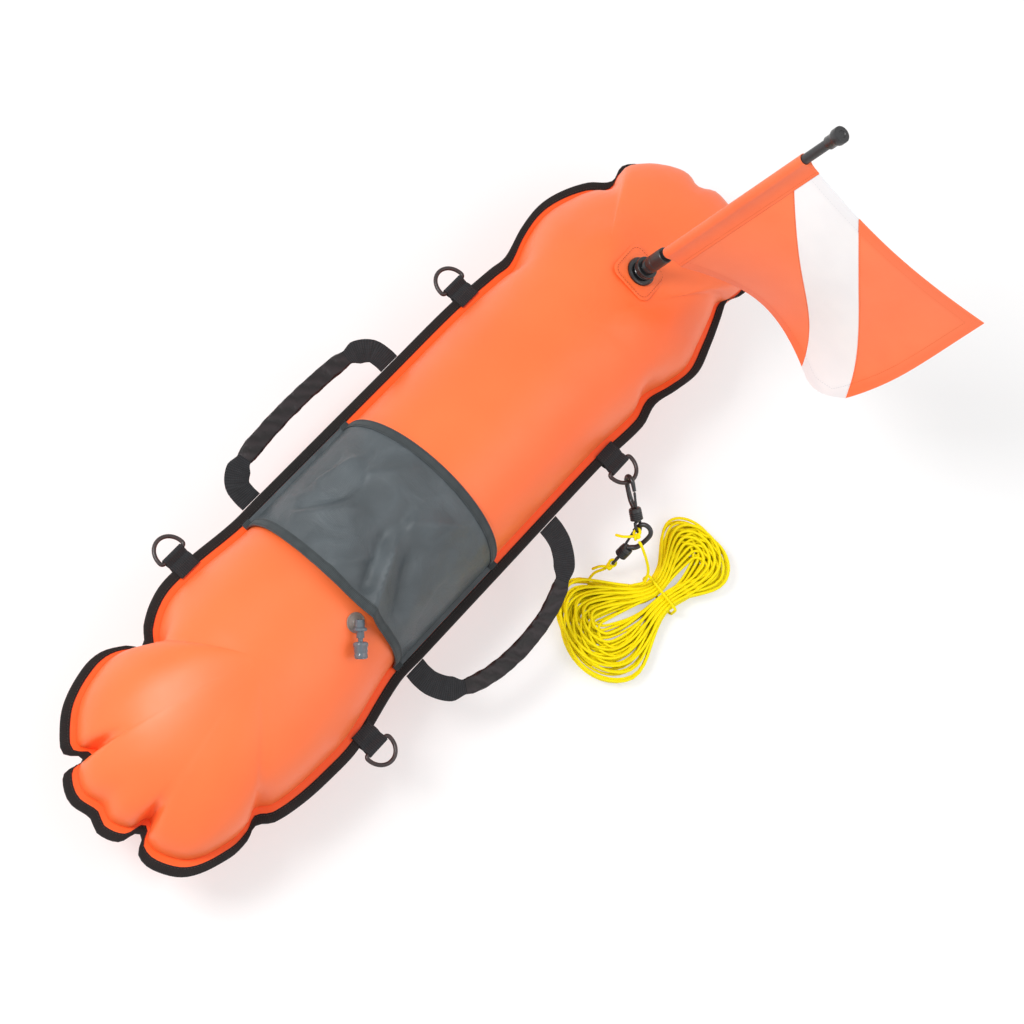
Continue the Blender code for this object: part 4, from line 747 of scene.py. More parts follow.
black_nylon = moulded_plastic("glossy_black_nylon", 0x141416, 0.16)
satin_nylon = moulded_plastic("satin_black_nylon", 0x1E1E20, 0.32)
bore = 0.0053
socket = [(0.0153, 0.0017), (0.0155, 0.0020), (0.0155, 0.0038), (0.0152, 0.0044), (0.0142, 0.0049),
          (0.0137, 0.0057), (0.0122, 0.0060), (0.0103, 0.0063), (0.0096, 0.0070), (0.0095, 0.0087),
          (0.0080, 0.0087), (0.0080, 0.0204), (0.0077, SOCKET_HEIGHT), (bore + 0.0003, SOCKET_HEIGHT),
          (bore, SOCKET_HEIGHT - 0.0003), (bore, 0.0030)]
add_piece("pole_socket", turned(socket, socket_place, 64), black_nylon, "float",
          ["socket_base"], 30)
collar = [(0.0083, 0.0090), (0.0111, 0.0090), (0.0118, 0.0096), (0.0120, 0.0106), (0.0120, 0.0116),
          (0.0115, 0.0119), (0.0115, 0.0122), (0.0120, 0.0126), (0.0120, 0.0136), (0.0118, 0.0144),
          (0.0111, 0.0150), (0.0083, 0.0150)]
add_piece("snap_ring", turned(collar, socket_place, 64, True), black_nylon, "float",
          ["socket_ring"], 30)


# Flag pole
# A fibreglass rod that plugs into the socket. It has a moulded collar that stands on the
# socket, and a moulded cap that is wider than the sleeve's bore, so that the flag stays on.

POLE_RADIUS = 0.005
POLE_LENGTH = 0.333
foot = [(bore, 0.0213), (0.0076, 0.0213), (0.0083, 0.0220), (0.0085, 0.0232), (0.0085, 0.0290),
        (0.0082, 0.0293), (0.0082, 0.0300), (0.0085, 0.0303), (0.0085, 0.0452), (0.0083, 0.0466),
        (0.0077, 0.0473), (bore, 0.0473)]
add_piece("pole_collar", turned(foot, socket_place, 48, True), satin_nylon, "pole",
          ["pole_foot"], 30)


def drawn_rod():
    """Drawn fibreglass rod with a black sheath: satin, with long fine draw lines."""
    made, tree = new_finish("sheathed_fibreglass", 0x262628, 0.4)
    flat = add_node(tree, "ShaderNodeUVMap", uv_map="cut")
    along = add_node(tree, "ShaderNodeMapping", {"Vector": flat, "Scale": (30.0, 1500.0, 1.0)})
    lines = add_node(tree, "ShaderNodeTexNoise", {"Vector": along, "Scale": 1.0, "Detail": 2.0})
    pattern(tree, lines, 0.3, 0.0001)
    return made


rod = [(POLE_RADIUS, 0.0033 + (0.325 - 0.0033) * i / 20) for i in range(21)]
add_piece("pole_rod", turned(rod, socket_place, 40), drawn_rod(), "pole", ["flag_pole"])
cap = [(0.0064, 0.3130), (0.0066, 0.3134), (0.0066, 0.3200), (0.0070, 0.3222), (0.0082, 0.3248),
       (0.0085, 0.3258), (0.0085, 0.3316), (0.0083, 0.3325), (0.0077, POLE_LENGTH), (0.0040, POLE_LENGTH),
       (0.0034, 0.3322), (0.0002, 0.3322), (0.0002, 0.3253), (bore, 0.3253), (bore, 0.3130)]
add_piece("pole_cap", turned(cap, socket_place, 48, True), satin_nylon, "pole",
          ["pole_tip"], 30)


# Flag
# Two orange pieces and a white stripe of light nylon, sewn edge to edge and hemmed on the
# three free sides. The hoist side is folded into a sleeve that slips over the pole.

FLAG_START = 0.051
FLAG_HOIST = 0.226
FLAG_FLY = 0.238
FLAG_CLOTH = 0.0008
FLAG_BELLY = 0.043
FLAG_TOP_SAG = 0.0064
FLAG_CORNER_LIFT = 0.020
FLAG_RIPPLE = 0.0022
SLEEVE_REACH = 0.0189
SLEEVE_WALL = 0.0008
SLEEVE_RINGS = 40
SLEEVE_SLACK = 0.05
# The flag's cloth is drawn in this many steps along its fly and its hoist.
FLAG_STEPS = 40
# Rows of stitches on the flag take a point this often.
ROW_STEP = 0.004
# Where the white stripe's edges meet the flag's lower, upper, hoist and fly edges, in shares.
STRIPE_LOW = 0.83
STRIPE_TOP = 0.26
STRIPE_HOIST = 0.83
STRIPE_FLY = 0.16
HEM_INSET = 0.012
fly = Matrix.Rotation(math.radians(6), 3, POLE_AXIS) @ (
    -Y_AXIS - POLE_AXIS * (-Y_AXIS).dot(POLE_AXIS)).normalized()
flag_normal = POLE_AXIS.cross(fly)


def flag_point(f, h, lift):
    """A point of the flag's cloth, by shares along its fly and its hoist."""
    free = FLAG_FLY - SLEEVE_REACH
    share = max(f * FLAG_FLY - SLEEVE_REACH, 0) / free
    belly = FLAG_BELLY * (1 - h) ** 2 - FLAG_TOP_SAG * h
    out = f * FLAG_FLY - share * free * (math.pi * belly / free / 2) ** 2
    swell = belly * math.sin(math.pi * share) + FLAG_CORNER_LIFT * (share * h) ** 2
    swell += FLAG_RIPPLE * ease(share * 2) * noise.noise(Vector((f * 2.2, h * 3.0, 7.1)))
    p = SEAT + POLE_AXIS * (FLAG_START + h * FLAG_HOIST) + fly * out
    return p + flag_normal * (swell + lift)


def flag_cloth(name, colour, shade, roughness):
    """Light nylon flag cloth: plain weave, a little shiny, and deeper where a hem doubles it."""
    made, tree = new_finish(name, colour, roughness, Sheen_Weight=0.2)
    # Threads 0.35 mm apart, drawn at 1.1 mm.
    weave = woven(tree, 285.0, "MULTIPLY")
    place = add_node(tree, "ShaderNodeTexCoord").outputs["Object"]
    slub = add_node(tree, "ShaderNodeTexNoise", {"Vector": place, "Scale": 22.0, "Detail": 3.0})
    height = add_node(tree, "ShaderNodeMath", {0: slub, 1: 6.0, 2: weave}, operation="MULTIPLY_ADD")
    marked(tree, "hem", pattern(tree, height, 0.4, 0.00015, slub, shade, colour), shade)
    return made


def flag_piece(name, corners, finish, node):
    """A sewn piece of the flag, from its corners in fly and hoist shares."""
    worker = bmesh.new()
    worker.faces.new([worker.verts.new((f, h, 0)) for f, h in corners])
    for i in range(1, FLAG_STEPS):
        for co, no in (((i / FLAG_STEPS, 0, 0), X_AXIS), ((0, i / FLAG_STEPS, 0), Y_AXIS)):
            geometry = worker.verts[:] + worker.edges[:] + worker.faces[:]
            bmesh.ops.bisect_plane(worker, geom=geometry, plane_co=co, plane_no=no)
    worker.verts.index_update()
    flat = [v.co.copy() for v in worker.verts]
    skins = [[v.index for v in face.verts] for face in worker.faces]
    rim = [[e.verts[0].index, e.verts[1].index] for e in worker.edges if e.is_boundary]
    worker.free()
    total = len(flat)
    points, doubled = [], []
    for side in (1, -1):
        for p in flat:
            into = min((1 - p.x) * FLAG_FLY, p.y * FLAG_HOIST, (1 - p.y) * FLAG_HOIST)
            hem = 1 - ease((into - HEM_INSET + 0.001) / 0.0015)
            doubled.append(hem)
            points.append(flag_point(p.x, p.y, side * (FLAG_CLOTH / 2 + 0.0003 * hem)))
    faces = [tuple(face) for face in skins] + [tuple(i + total for i in face[::-1]) for face in skins]
    faces += [(a, b, b + total, a + total) for a, b in rim]
    places = [(flat[i % total].x * FLAG_FLY, flat[i % total].y * FLAG_HOIST) for face in faces
              for i in face]
    made = add_piece(name, (points, faces, places), finish, "flag", [node])
    made.data.attributes.new("hem", "FLOAT", "POINT").data.foreach_set("value", doubled)
    return made


orange_cloth = flag_cloth("orange_flag_nylon", 0xFF7F4A, 0xF8703A, 0.6)
white_cloth = flag_cloth("white_flag_nylon", 0xF6F6F6, 0xE9EAEC, 0.6)
sleeve_cloth = flag_cloth("sleeve_nylon", 0xF8743F, 0xEE6632, 0.62)
start = (SLEEVE_REACH + GAP) / FLAG_FLY
seam_f, seam_h = GAP / FLAG_FLY, GAP / FLAG_HOIST
low, top = start + (1 - start) * STRIPE_LOW, start + (1 - start) * STRIPE_TOP
corner = [(0.90, 0.0), (0.935, 0.016), (0.962, 0.050), (0.982, 0.100)]
flag_parts = [
    flag_piece("flag_hoist_cloth", ((start, 0), (low - seam_f, 0), (start, STRIPE_HOIST - seam_h)),
               orange_cloth, "flag_hoist_panel"),
    flag_piece("flag_stripe_cloth", [(start, STRIPE_HOIST + seam_h), (low + seam_f, 0)] + corner
               + [(1, STRIPE_FLY - seam_h), (top - seam_f, 1), (start, 1)],
               white_cloth, "flag_white_stripe"),
    flag_piece("flag_fly_cloth", ((top + seam_f, 1), (1, STRIPE_FLY + seam_h), (1, 1)),
               orange_cloth, "flag_fly_panel"),
]
flat_width, flat_height = FLAG_FLY * (1 - start), FLAG_HOIST
for part, width, height, share in ((flag_parts[0], 0.83, 0.83, 0.5), (flag_parts[1], 1.0, 1.0, 0.343),
                                   (flag_parts[2], 0.74, 0.84, 0.5)):
    flat = (flat_width * width, flat_height * height)

inner = POLE_RADIUS + GAP
round_pole = np.linspace(50, 310, 40)
lips = [(0.006, 0.0036), (0.009, 0.0022), (0.013, 0.0013), (SLEEVE_REACH, SLEEVE_WALL)]
wall = arc(round_pole, inner + SLEEVE_WALL) + [(a, -b) for a, b in lips] + lips[::-1]
bore_section = arc([*round_pole, -40, -30, -20, -8, 8, 20, 30, 40], inner)
rings = []
for section, heights in ((wall, range(SLEEVE_RINGS + 1)), (bore_section, (SLEEVE_RINGS, 0))):
    for k in heights:
        centre = SEAT + POLE_AXIS * (FLAG_START + k / SLEEVE_RINGS * FLAG_HOIST)
        swell = 1 + SLEEVE_SLACK * noise.noise(Vector((k / 6, 0.5, 0.5))) if section is wall else 1
        rings.append([centre + fly * a + flag_normal * b * swell for a, b in section])
add_piece("sleeve", loft(rings, True), sleeve_cloth, "flag", ["flag_sleeve"], 60)

orange_thread = thread_finish("orange_thread", 0xE0602C)
pale_thread = thread_finish("pale_thread", 0xC9CCD2)


def flag_line(points, lift):
    """A line over the flag's cloth through fly and hoist shares, in small steps."""
    result = []
    for (f0, h0), (f1, h1) in zip(points, points[1:]):
        steps = max(2, round(math.hypot((f1 - f0) * FLAG_FLY, (h1 - h0) * FLAG_HOIST) / ROW_STEP))
        result += [flag_point(f0 + (f1 - f0) * k / steps, h0 + (h1 - h0) * k / steps, lift)
                   for k in range(steps)]
    return result + [flag_point(*points[-1], lift)]


in_f, in_h = HEM_INSET / FLAG_FLY, HEM_INSET / FLAG_HOIST
top_split = top + (1 - top) * in_h / (1 - STRIPE_FLY)
fly_split = STRIPE_FLY + (1 - STRIPE_FLY) * in_f / (1 - top)
low_split = low - (low - start) * in_h / STRIPE_HOIST
orange_rows, white_rows = [], []
for lift in (FLAG_CLOTH / 2 + THREAD_LIFT, -FLAG_CLOTH / 2 - THREAD_LIFT):
    orange_rows += [flag_line([(start, in_h), (low_split, in_h)], lift),
                    flag_line([(top_split, 1 - in_h), (1 - in_f, 1 - in_h), (1 - in_f, fly_split)], lift),
                    flag_line([(low - 0.008, 0.004), (start + 0.003, STRIPE_HOIST - 0.010)], lift),
                    flag_line([(top + 0.012, 0.996), (0.997, STRIPE_FLY + 0.014)], lift)]
    white_rows += [flag_line([(low_split, in_h), (1 - 2.2 * in_f, in_h), (1 - in_f, 2.2 * in_h),
                              (1 - in_f, fly_split)], lift),
                   flag_line([(start, 1 - in_h), (top_split, 1 - in_h)], lift)]
flag_rows = dict(pitch=0.0030, length=0.0023, radius=0.00025)
sew("flag_orange_stitches", orange_rows, orange_thread, "flag", "orange_cloth", **flag_rows)
sew("flag_white_stitches", white_rows, pale_thread, "flag", "white_cloth", **flag_rows)
sew("sleeve_stitches", [[SEAT + POLE_AXIS * (FLAG_START + 0.002 + k * 0.0037) + fly * 0.0160
                         + flag_normal * side_of * (SLEEVE_WALL + 0.0002) for k in range(61)]
                        for side_of in (1, -1)], orange_thread, "flag", "sleeve_cloth", **flag_rows)


# Webbing tabs and D-rings
# Each ring is 4.4 mm steel wire bent to a D, welded and coated black. A strip of webbing is
# folded round its straight bar, and both ends are sewn through the binding.

TAB_WIDTH = 0.025
TAB_THICKNESS = 0.0012
TAB_REACH = 0.011
TAB_OVERLAP = 0.012
# A box of stitches holds each tab. It runs between these distances in from the tape's edge,
# and this share of the tab's width to each side.
BOX_NEAR = 0.0025
BOX_FAR = 0.0105
BOX_HALF = 0.40
RING_WIRE = 0.0022
DEE_WIDTH = 0.036
DEE_DEPTH = 0.025
DEE_CORNER = 0.003
# Where each ring's bar lies: along the float, out from the middle line, and to which side.
DEE_BARS = (("left_front", 0.221, 0.12461, 1), ("left_rear", -0.194, 0.13167, 1),
            ("right_front", 0.201, 0.12639, -1), ("right_rear", -0.194, 0.13938, -1))


def smooth_open(points, spacing):
    """A smooth open curve through points, at even steps; columns past the third ride along."""
    table = np.array([tuple(p) for p in points], float)
    last = len(table) - 1
    dense = []
    for i in range(last):
        a, b = table[i], table[i + 1]
        span = np.linalg.norm((b - a)[:3])
        before, after = b - table[max(i - 1, 0)], table[min(i + 2, last)] - a
        leave = before / np.linalg.norm(before[:3]) * span
        arrive = after / np.linalg.norm(after[:3]) * span
        dense += [hermite(a, b, leave, arrive, step / 12) for step in range(12)]
    dense = np.array(dense + [table[last]])
    lengths = np.concatenate([[0], np.cumsum(np.linalg.norm(np.diff(dense[:, :3], axis=0), axis=1))])
    wanted = np.linspace(0, lengths[-1], max(2, round(lengths[-1] / spacing) + 1))
    return np.array([np.interp(wanted, lengths, dense[:, k]) for k in range(dense.shape[1])]).T


def swept(path, radii, count, closed=False, flat=None):
    """A round bar along a path, with one radius or one for each point."""
    path = [Vector(p[:3]) for p in path]
    total = len(path)
    radii = np.broadcast_to(radii, total)
    rings, side = [], None
    for i, point in enumerate(path):
        before = path[(i - 1) % total] if closed or i > 0 else point
        after = path[(i + 1) % total] if closed or i < total - 1 else point
        heading = (after - before).normalized()
        if flat is not None:
            side = flat.cross(heading).normalized()
        elif side is None:
            side = heading.orthogonal().normalized()
        else:
            side = (side - heading * side.dot(heading)).normalized()
        rings.append(circle(point, side, heading.cross(side), radii[i], count))
    return loft(rings, closed)


def strip_section(points, thickness):
    """The outline of a folded strip, half its thickness to each side of its middle line."""
    left, right = [], []
    for i, (a, b) in enumerate(points):
        before, after = points[max(i - 1, 0)], points[min(i + 1, len(points) - 1)]
        run = math.hypot(after[0] - before[0], after[1] - before[1])
        across = (-(after[1] - before[1]) / run, (after[0] - before[0]) / run)
        left.append((a + across[0] * thickness / 2, b + across[1] * thickness / 2))
        right.append((a - across[0] * thickness / 2, b - across[1] * thickness / 2))
    return left + right[::-1]


webbing = ribbed_tape("polypropylene_webbing", 0x18181A, 0x303134, 0.0022, 0.0005)
# Steel wire dipped in black nylon: satin, brown where the coat is thin, slightly lumpy.
dee_finish = uneven("nylon_dipped_wire", 0x231C1D, 0.34, (240.0, 3.0, 0.3, 0.0003), (0x1C1819, 0x3B2B2A))
tab_rows = []
for name, x, out, side in DEE_BARS:
    near = out - TAB_REACH
    leg = BINDING_OUTER + GAP + TAB_THICKNESS / 2
    wrap = RING_WIRE + GAP + TAB_THICKNESS / 2
    pinch = TAB_THICKNESS / 2 + GAP
    path = [(near - TAB_OVERLAP, leg), (near - TAB_OVERLAP / 2, leg), (near + GAP, leg),
            (near + TAB_REACH * 0.18, leg * 0.75), (near + TAB_REACH * 0.38, pinch)]
    path += arc(range(125, -126, -12), wrap, None, (out, 0)) + [(a, -b) for a, b in path[::-1]]
    section = strip_section(path, TAB_THICKNESS)
    ends = [(-0.5, 0.6), (-0.485, 1)] + [(i / 10 - 0.4, 1) for i in range(9)] + [(0.485, 1), (0.5, 0.6)]
    middle = strip_section(path, TAB_THICKNESS * 0.01)
    rings = [[Vector((x + end * TAB_WIDTH, side * (m[0] + (a[0] - m[0]) * thick),
                      SEAM_HEIGHT + m[1] + (a[1] - m[1]) * thick)) for a, m in zip(section, middle)]
             for end, thick in ends]
    add_piece(name + "_webbing", loft(rings), webbing, "float", [name + "_tab"], 50)
    # A box of stitches over and under the binding.
    face = leg + TAB_THICKNESS / 2 + THREAD_LIFT
    for way in (1, -1):
        box = [(-BOX_HALF, near - BOX_FAR), (BOX_HALF, near - BOX_FAR), (BOX_HALF, near - BOX_NEAR),
               (-BOX_HALF, near - BOX_NEAR), (-BOX_HALF, near - BOX_FAR)]
        tab_rows.append([Vector((x + a * TAB_WIDTH, side * b, SEAM_HEIGHT + way * face)) for a, b in box])
    half, deep = DEE_WIDTH / 2 - RING_WIRE, DEE_DEPTH - 2 * RING_WIRE
    flat = [((half - DEE_CORNER) * (i / 8), 0) for i in range(-8, 9)]
    flat += arc(range(-75, 1, 15), DEE_CORNER, None, (half - DEE_CORNER, DEE_CORNER))
    flat += arc(range(5, 180, 5), half, deep - DEE_CORNER, (0, DEE_CORNER))
    flat += arc(range(180, 256, 15), DEE_CORNER, None, (DEE_CORNER - half, DEE_CORNER))
    wire = [Vector((x + u, side * (out + v), SEAM_HEIGHT)) for u, v in flat]
    add_piece(name + "_dee_wire", swept(wire, RING_WIRE, 16, True, Z_AXIS), dee_finish, name + "_dee",
              [name + "_ring"])
sew("tab_stitches", tab_rows, black_thread, "float", "black_webbing", pitch=0.0026, length=0.002)


# Carrying handles
# A 25 mm webbing strap sewn to the edge by both ends. Its middle is folded lengthways into a
# soft wrapped grip, and the wrap has wrinkled where hands close on it.

HANDLE_HALF_SPAN = 0.104
WEBBING_WIDTH = 0.025
WEBBING_THICKNESS = 0.002
# Inside the grip the webbing is folded narrow, and its sewn ends are pressed thin.
FOLDED_WIDTH = 0.0151
FOLDED_THICKNESS = 0.0031
SEWN_END = 0.0009
GRIP_WIDTH = 0.0185
GRIP_THICKNESS = 0.0065
GRIP_END_WIDTH = 0.0160
GRIP_END_THICKNESS = 0.0040
GRIP_SLACK = 0.05
GRIP_WRINKLE = 0.07
GRIP_LIMIT = HANDLE_HALF_SPAN * 0.74
# Each handle's place along the float, side, reach and droop, and half of its curve in shares.
HANDLES = (
    ("left", 0.004, 1, 0.039, 0.0,
     ((-1.0, 0.0), (-1.0, 0.22), (-0.97, 0.55), (-0.84, 0.80), (-0.62, 0.92), (-0.32, 0.98), (0.0, 1.0))),
    ("right", -0.005, -1, 0.069, math.radians(20),
     ((-1.0, 0.0), (-1.0, 0.15), (-0.97, 0.36), (-0.86, 0.62), (-0.66, 0.82), (-0.34, 0.96), (0.0, 1.0))),
)


def wrap_cloth():
    """Grip wrap of thin brown-black nylon, with painted highlight on its ridges and painted shade in its
    hollows.
    """
    made, tree = new_finish("nylon_grip_wrap", 0x1C1819, 0.5, Specular_IOR_Level=0.35)
    flat = add_node(tree, "ShaderNodeUVMap", uv_map="cut")
    slant = add_node(tree, "ShaderNodeMapping", {"Vector": flat, "Rotation": (0, 0, 0.7)})
    # Folds run slantwise round the grip, 9 to 20 mm apart.
    folds_and_shading = add_node(tree, "ShaderNodeTexWave", {"Vector": slant, "Scale": 22.0, "Distortion": 5.0,
                                                 "Detail": 3.0, "Detail Scale": 2.0},
                     wave_type="BANDS", bands_direction="X")
    # The wrap is painted paler on its ridges and darker in its hollows: painted highlight and painted shade.
    pattern(tree, folds_and_shading, 0.8, 0.0012, folds_and_shading, 0x120D0E, 0x231C1E)
    return made


def flat_ring(path, i, outward, width, thick, points=5):
    """A ring of a flat strip that bends in its own plane, with rounded corners."""
    up = X_AXIS.cross(outward).normalized()
    heading = (path[min(i + 1, len(path) - 1)] - path[max(i - 1, 0)]).normalized()
    across = up.cross(heading).normalized()
    section = rounded_box(width / 2, thick / 2, min(width, thick) * 0.45, points)
    return [path[i] + across * a + up * b for a, b in section]


wrap_finish = wrap_cloth()
for prefix, x, side, reach, droop, half_shares in HANDLES:
    hinge = Vector((x, side * (HALF_WIDTH + 0.0013), SEAM_HEIGHT))
    outward = Vector((0, side * math.cos(droop), -math.sin(droop)))
    shares = list(half_shares) + [(-u, v) for u, v in half_shares[-2::-1]]
    guide = [hinge + X_AXIS * u * HANDLE_HALF_SPAN + outward * v * reach for u, v in shares]
    path = [Vector(p) for p in smooth_open(guide, 0.0030)]
    path = [path[0] - outward * SEWN_END] + path + [path[-1] - outward * SEWN_END]
    rings = []
    for i, p in enumerate(path):
        blend = ease((abs(p.x - x) - GRIP_LIMIT) / (HANDLE_HALF_SPAN - GRIP_LIMIT) * 2.2)
        width = FOLDED_WIDTH + (WEBBING_WIDTH - FOLDED_WIDTH) * blend
        thick = FOLDED_THICKNESS + (WEBBING_THICKNESS - FOLDED_THICKNESS) * blend
        if i in (0, len(path) - 1):
            thick = SEWN_END
        rings.append(flat_ring(path, i, outward, width, thick))
    add_piece(prefix + "_strap", loft(rings), webbing, prefix + "_handle",
              [prefix + "_handle_strap"], 50)
    held = [i for i, p in enumerate(path) if abs(p.x - x) <= GRIP_LIMIT]
    rings = []
    for k, i in enumerate(held):
        edge_share = ease(min(k, len(held) - 1 - k) / 2.5)
        slack = 1 + GRIP_SLACK * noise.noise(Vector((k * 0.35, side, 0.4)))
        width = GRIP_END_WIDTH + (GRIP_WIDTH - GRIP_END_WIDTH) * edge_share
        thick = GRIP_END_THICKNESS + (GRIP_THICKNESS - GRIP_END_THICKNESS) * edge_share
        ring = flat_ring(path, i, outward, width * slack, thick * slack, 7)
        for j, p in enumerate(ring):
            fold = noise.noise(Vector((k * 0.30 + j * 0.22, j * 0.10, 3.0 + side)))
            ring[j] = path[i] + (p - path[i]) * (1 + GRIP_WRINKLE * fold * edge_share)
        rings.append(ring)
    add_piece(prefix + "_grip", loft(rings), wrap_finish, prefix + "_handle",
              [prefix + "_handle_grip"], 60)


# Snap hooks
# Two moulded trigger hooks with a sprung gate. Each hook turns on its eye, whose stem runs
# in the barrel; rings round the barrel give grip.

HOOK_LENGTH = 0.064
HOOK_WIRE = 0.0025
BOW_RADIUS = 0.00775
BARREL_RADIUS = 0.0068
BARREL_LENGTH = 0.013
EYE_WIDTH = 0.016
EYE_DEPTH = 0.0145
EYE_WIRE = 0.0016
GATE_RADIUS = 0.0013
# The gate turns this far to the side of the hook's middle.
GATE_PIVOT = 0.0044
# The bow's free end stands this far beyond the middle of its bend.
NOSE_REACH = 0.007
PIN_RADIUS = 0.0020
# Hook 1 hangs on the right front ring this far behind the middle of its bend.
HOOK_ASIDE = 0.005
BARREL_START = HOOK_LENGTH - EYE_DEPTH - BARREL_LENGTH
BARREL_END = HOOK_LENGTH - EYE_DEPTH
hook_aims = (Vector((-0.425, -0.790, -0.440)).normalized(), Vector((-0.600, 0.0, -0.800)).normalized())
wire_share = HOOK_ASIDE / (DEE_WIDTH / 2 - RING_WIRE)
wire_out = DEE_CORNER + (DEE_DEPTH - 2 * RING_WIRE - DEE_CORNER) * math.sqrt(1 - wire_share ** 2)
_, bar_x, bar_out, _ = DEE_BARS[2]
wire_at = Vector((bar_x - HOOK_ASIDE, -bar_out - wire_out, SEAM_HEIGHT))
hook_top = wire_at - hook_aims[0] * (2 * HOOK_WIRE + RING_WIRE + GAP * 3)
hook_1 = placed(hook_top, hook_aims[0], hook_aims[0].cross(Z_AXIS).cross(hook_aims[0]))
hole = hook_top + hook_aims[0] * (HOOK_LENGTH - 2 * EYE_WIRE - (EYE_DEPTH - 4 * EYE_WIRE) / 2)
hook_2 = placed(hole - Y_AXIS * BOW_RADIUS - hook_aims[1] * (BOW_RADIUS + HOOK_WIRE), hook_aims[1], Y_AXIS)
facing = (hook_aims[1] - hook_aims[0] * hook_aims[1].dot(hook_aims[0])).normalized()
spin = hook_1.to_3x3().inverted() @ facing
eye_turn = math.atan2(spin.y, spin.x) - math.pi / 2
middle = BOW_RADIUS + HOOK_WIRE
bow = [(0, BARREL_START + BARREL_LENGTH * 0.05), (-BOW_RADIUS * 0.30, BARREL_START - BOW_RADIUS * 0.25),
       (-BOW_RADIUS * 0.80, BARREL_START - BOW_RADIUS), (-BOW_RADIUS, middle + BOW_RADIUS)]
bow += arc(range(0, 181, 30), -BOW_RADIUS, None, (0, middle)) + [(BOW_RADIUS, middle + NOSE_REACH)]
swells = [1.2, 1.2, 1.1] + [1.0] * 7 + [0.9, 0.765]
guide = [(x, 0, z, HOOK_WIRE * swell) for (x, z), swell in zip(bow, swells)]
bow_path = smooth_open(guide, 0.0011)
barrel = [(PIN_RADIUS + GAP, BARREL_START + BARREL_LENGTH * 0.30), (PIN_RADIUS + GAP, BARREL_END - 0.0003),
          (0.0026, BARREL_END), (BARREL_RADIUS - 0.0004, BARREL_END), (BARREL_RADIUS, BARREL_END - 0.0004)]
for k in range(4):
    low = BARREL_END - 0.0022 - k * 0.0021
    barrel += [(BARREL_RADIUS, low + 0.0009), (BARREL_RADIUS - 0.0007, low + 0.0006),
               (BARREL_RADIUS - 0.0007, low), (BARREL_RADIUS, low - 0.0003)]
barrel += [(BARREL_RADIUS * 0.94, BARREL_START + 0.0010), (BARREL_RADIUS * 0.8, BARREL_START),
           (0.0002, BARREL_START), (0.0002, BARREL_START + BARREL_LENGTH * 0.30)]
pivot = Vector((GATE_PIVOT, 0, BARREL_START - GATE_RADIUS - GAP))
nose = Vector((BOW_RADIUS, 0, middle + NOSE_REACH))
gate_top = Vector((nose.x - HOOK_WIRE * 0.2, 0, nose.z + GATE_RADIUS + GAP))
heel = pivot + (pivot - gate_top).normalized() * GATE_RADIUS * 0.8
gate = smooth_open([(*heel, 0.00078), (*pivot, GATE_RADIUS), (*pivot.lerp(gate_top, 0.5), GATE_RADIUS),
                    (*gate_top, GATE_RADIUS), (*(gate_top + (gate_top - pivot).normalized() * 0.0006),
                                               GATE_RADIUS * 0.5)], 0.0008)
half = EYE_WIDTH / 2 - EYE_WIRE
shoulder = BARREL_END + GAP + EYE_WIRE
deep = EYE_DEPTH - 2 * EYE_WIRE - GAP
eye_ring = [(half * (0.9 - 0.225 * step), 0) for step in range(9)]
eye_ring += arc(np.linspace(0, 180, 25), -half, deep * 0.65, (0, deep * 0.35))
stub = [(PIN_RADIUS, BARREL_START + BARREL_LENGTH * 0.30 + GAP), (PIN_RADIUS, shoulder)]
for name, place, turn in (("1", hook_1, eye_turn), ("2", hook_2, math.pi / 2)):
    square = (place.to_3x3() @ Y_AXIS).normalized()
    bow_bar, gate_bar = [swept([place @ Vector(p[:3]) for p in bar], bar[:, 3], count, False, square)
                         for bar, count in ((bow_path, 16), (gate, 12))]
    body = merged(bow_bar, turned(barrel, place, 40, True))
    add_piece(f"hook_{name}_bow", body, satin_nylon, f"hook_{name}",
              [f"hook_{name}_body"], 35)
    add_piece(f"hook_{name}_lever", gate_bar, satin_nylon, f"gate_{name}",
              [f"hook_{name}_gate"], 35)
    spun = place @ Matrix.Rotation(turn, 4, "Z")
    wire = [spun @ Vector((x, 0, shoulder + z)) for x, z in eye_ring]
    eye = merged(swept(wire, EYE_WIRE, 12, True, (spun.to_3x3() @ Y_AXIS).normalized()),
                 turned(stub, spun, 16))
    add_piece(f"hook_{name}_swivel_eye", eye, satin_nylon, "float",
              [f"hook_{name}_eye"], 35)


# Line
# About 17 m of 3 mm braided polypropylene, wound in long loops and tied round the waist.
# One end is knotted to each hook's eye, and the hank lies on the ground beside the float.

LINE = 0.003
KNOT_RADIUS = 0.0046
HANK_LEFT_END = Vector((0.045, -0.211, 0))
HANK_WAIST = Vector((0.160, -0.252, 0))
HANK_RIGHT_END = Vector((0.255, -0.250, 0))
TURNS_PER_LAYER = 5
# How far each layer's loops lie inside those of the widest one, in shares of a lane.
LAYER_SHIFTS = (0.0, 0.5, 0.25, 0.75, 0.12, 0.62, 0.37, 0.0)
# How far each layer's loops lean to one side at their ends.
LAYER_LEANS = (0.0, 0.009, -0.009, 0.004, -0.006, 0.012, -0.011, 0.003)
HANK_LAYERS = len(LAYER_SHIFTS)
POINTS_PER_LOOP = 24
# The first and last points that the leads join, and the steps drawn from each point to the next.
FIRST_POINT = 4
LAST_POINT = 941
HANK_STEPS = 3
WAIST_STEP = 0.0035
WAIST_CORE = 0.0020
WAIST_LAYER = 0.00163
FAN_LAYER = 0.00214
WAIST_LIFT = 0.0042
# Each fan's half width at its innermost loop, and what the outermost loop adds.
LEFT_FAN = (0.012, 0.045)
RIGHT_FAN = (0.011, 0.027)
FAN_ROUNDNESS = 0.80
# How much shorter the innermost loop is than the outermost, and how far a loop's end strays.
NESTING = 0.34
STRAY = 0.030
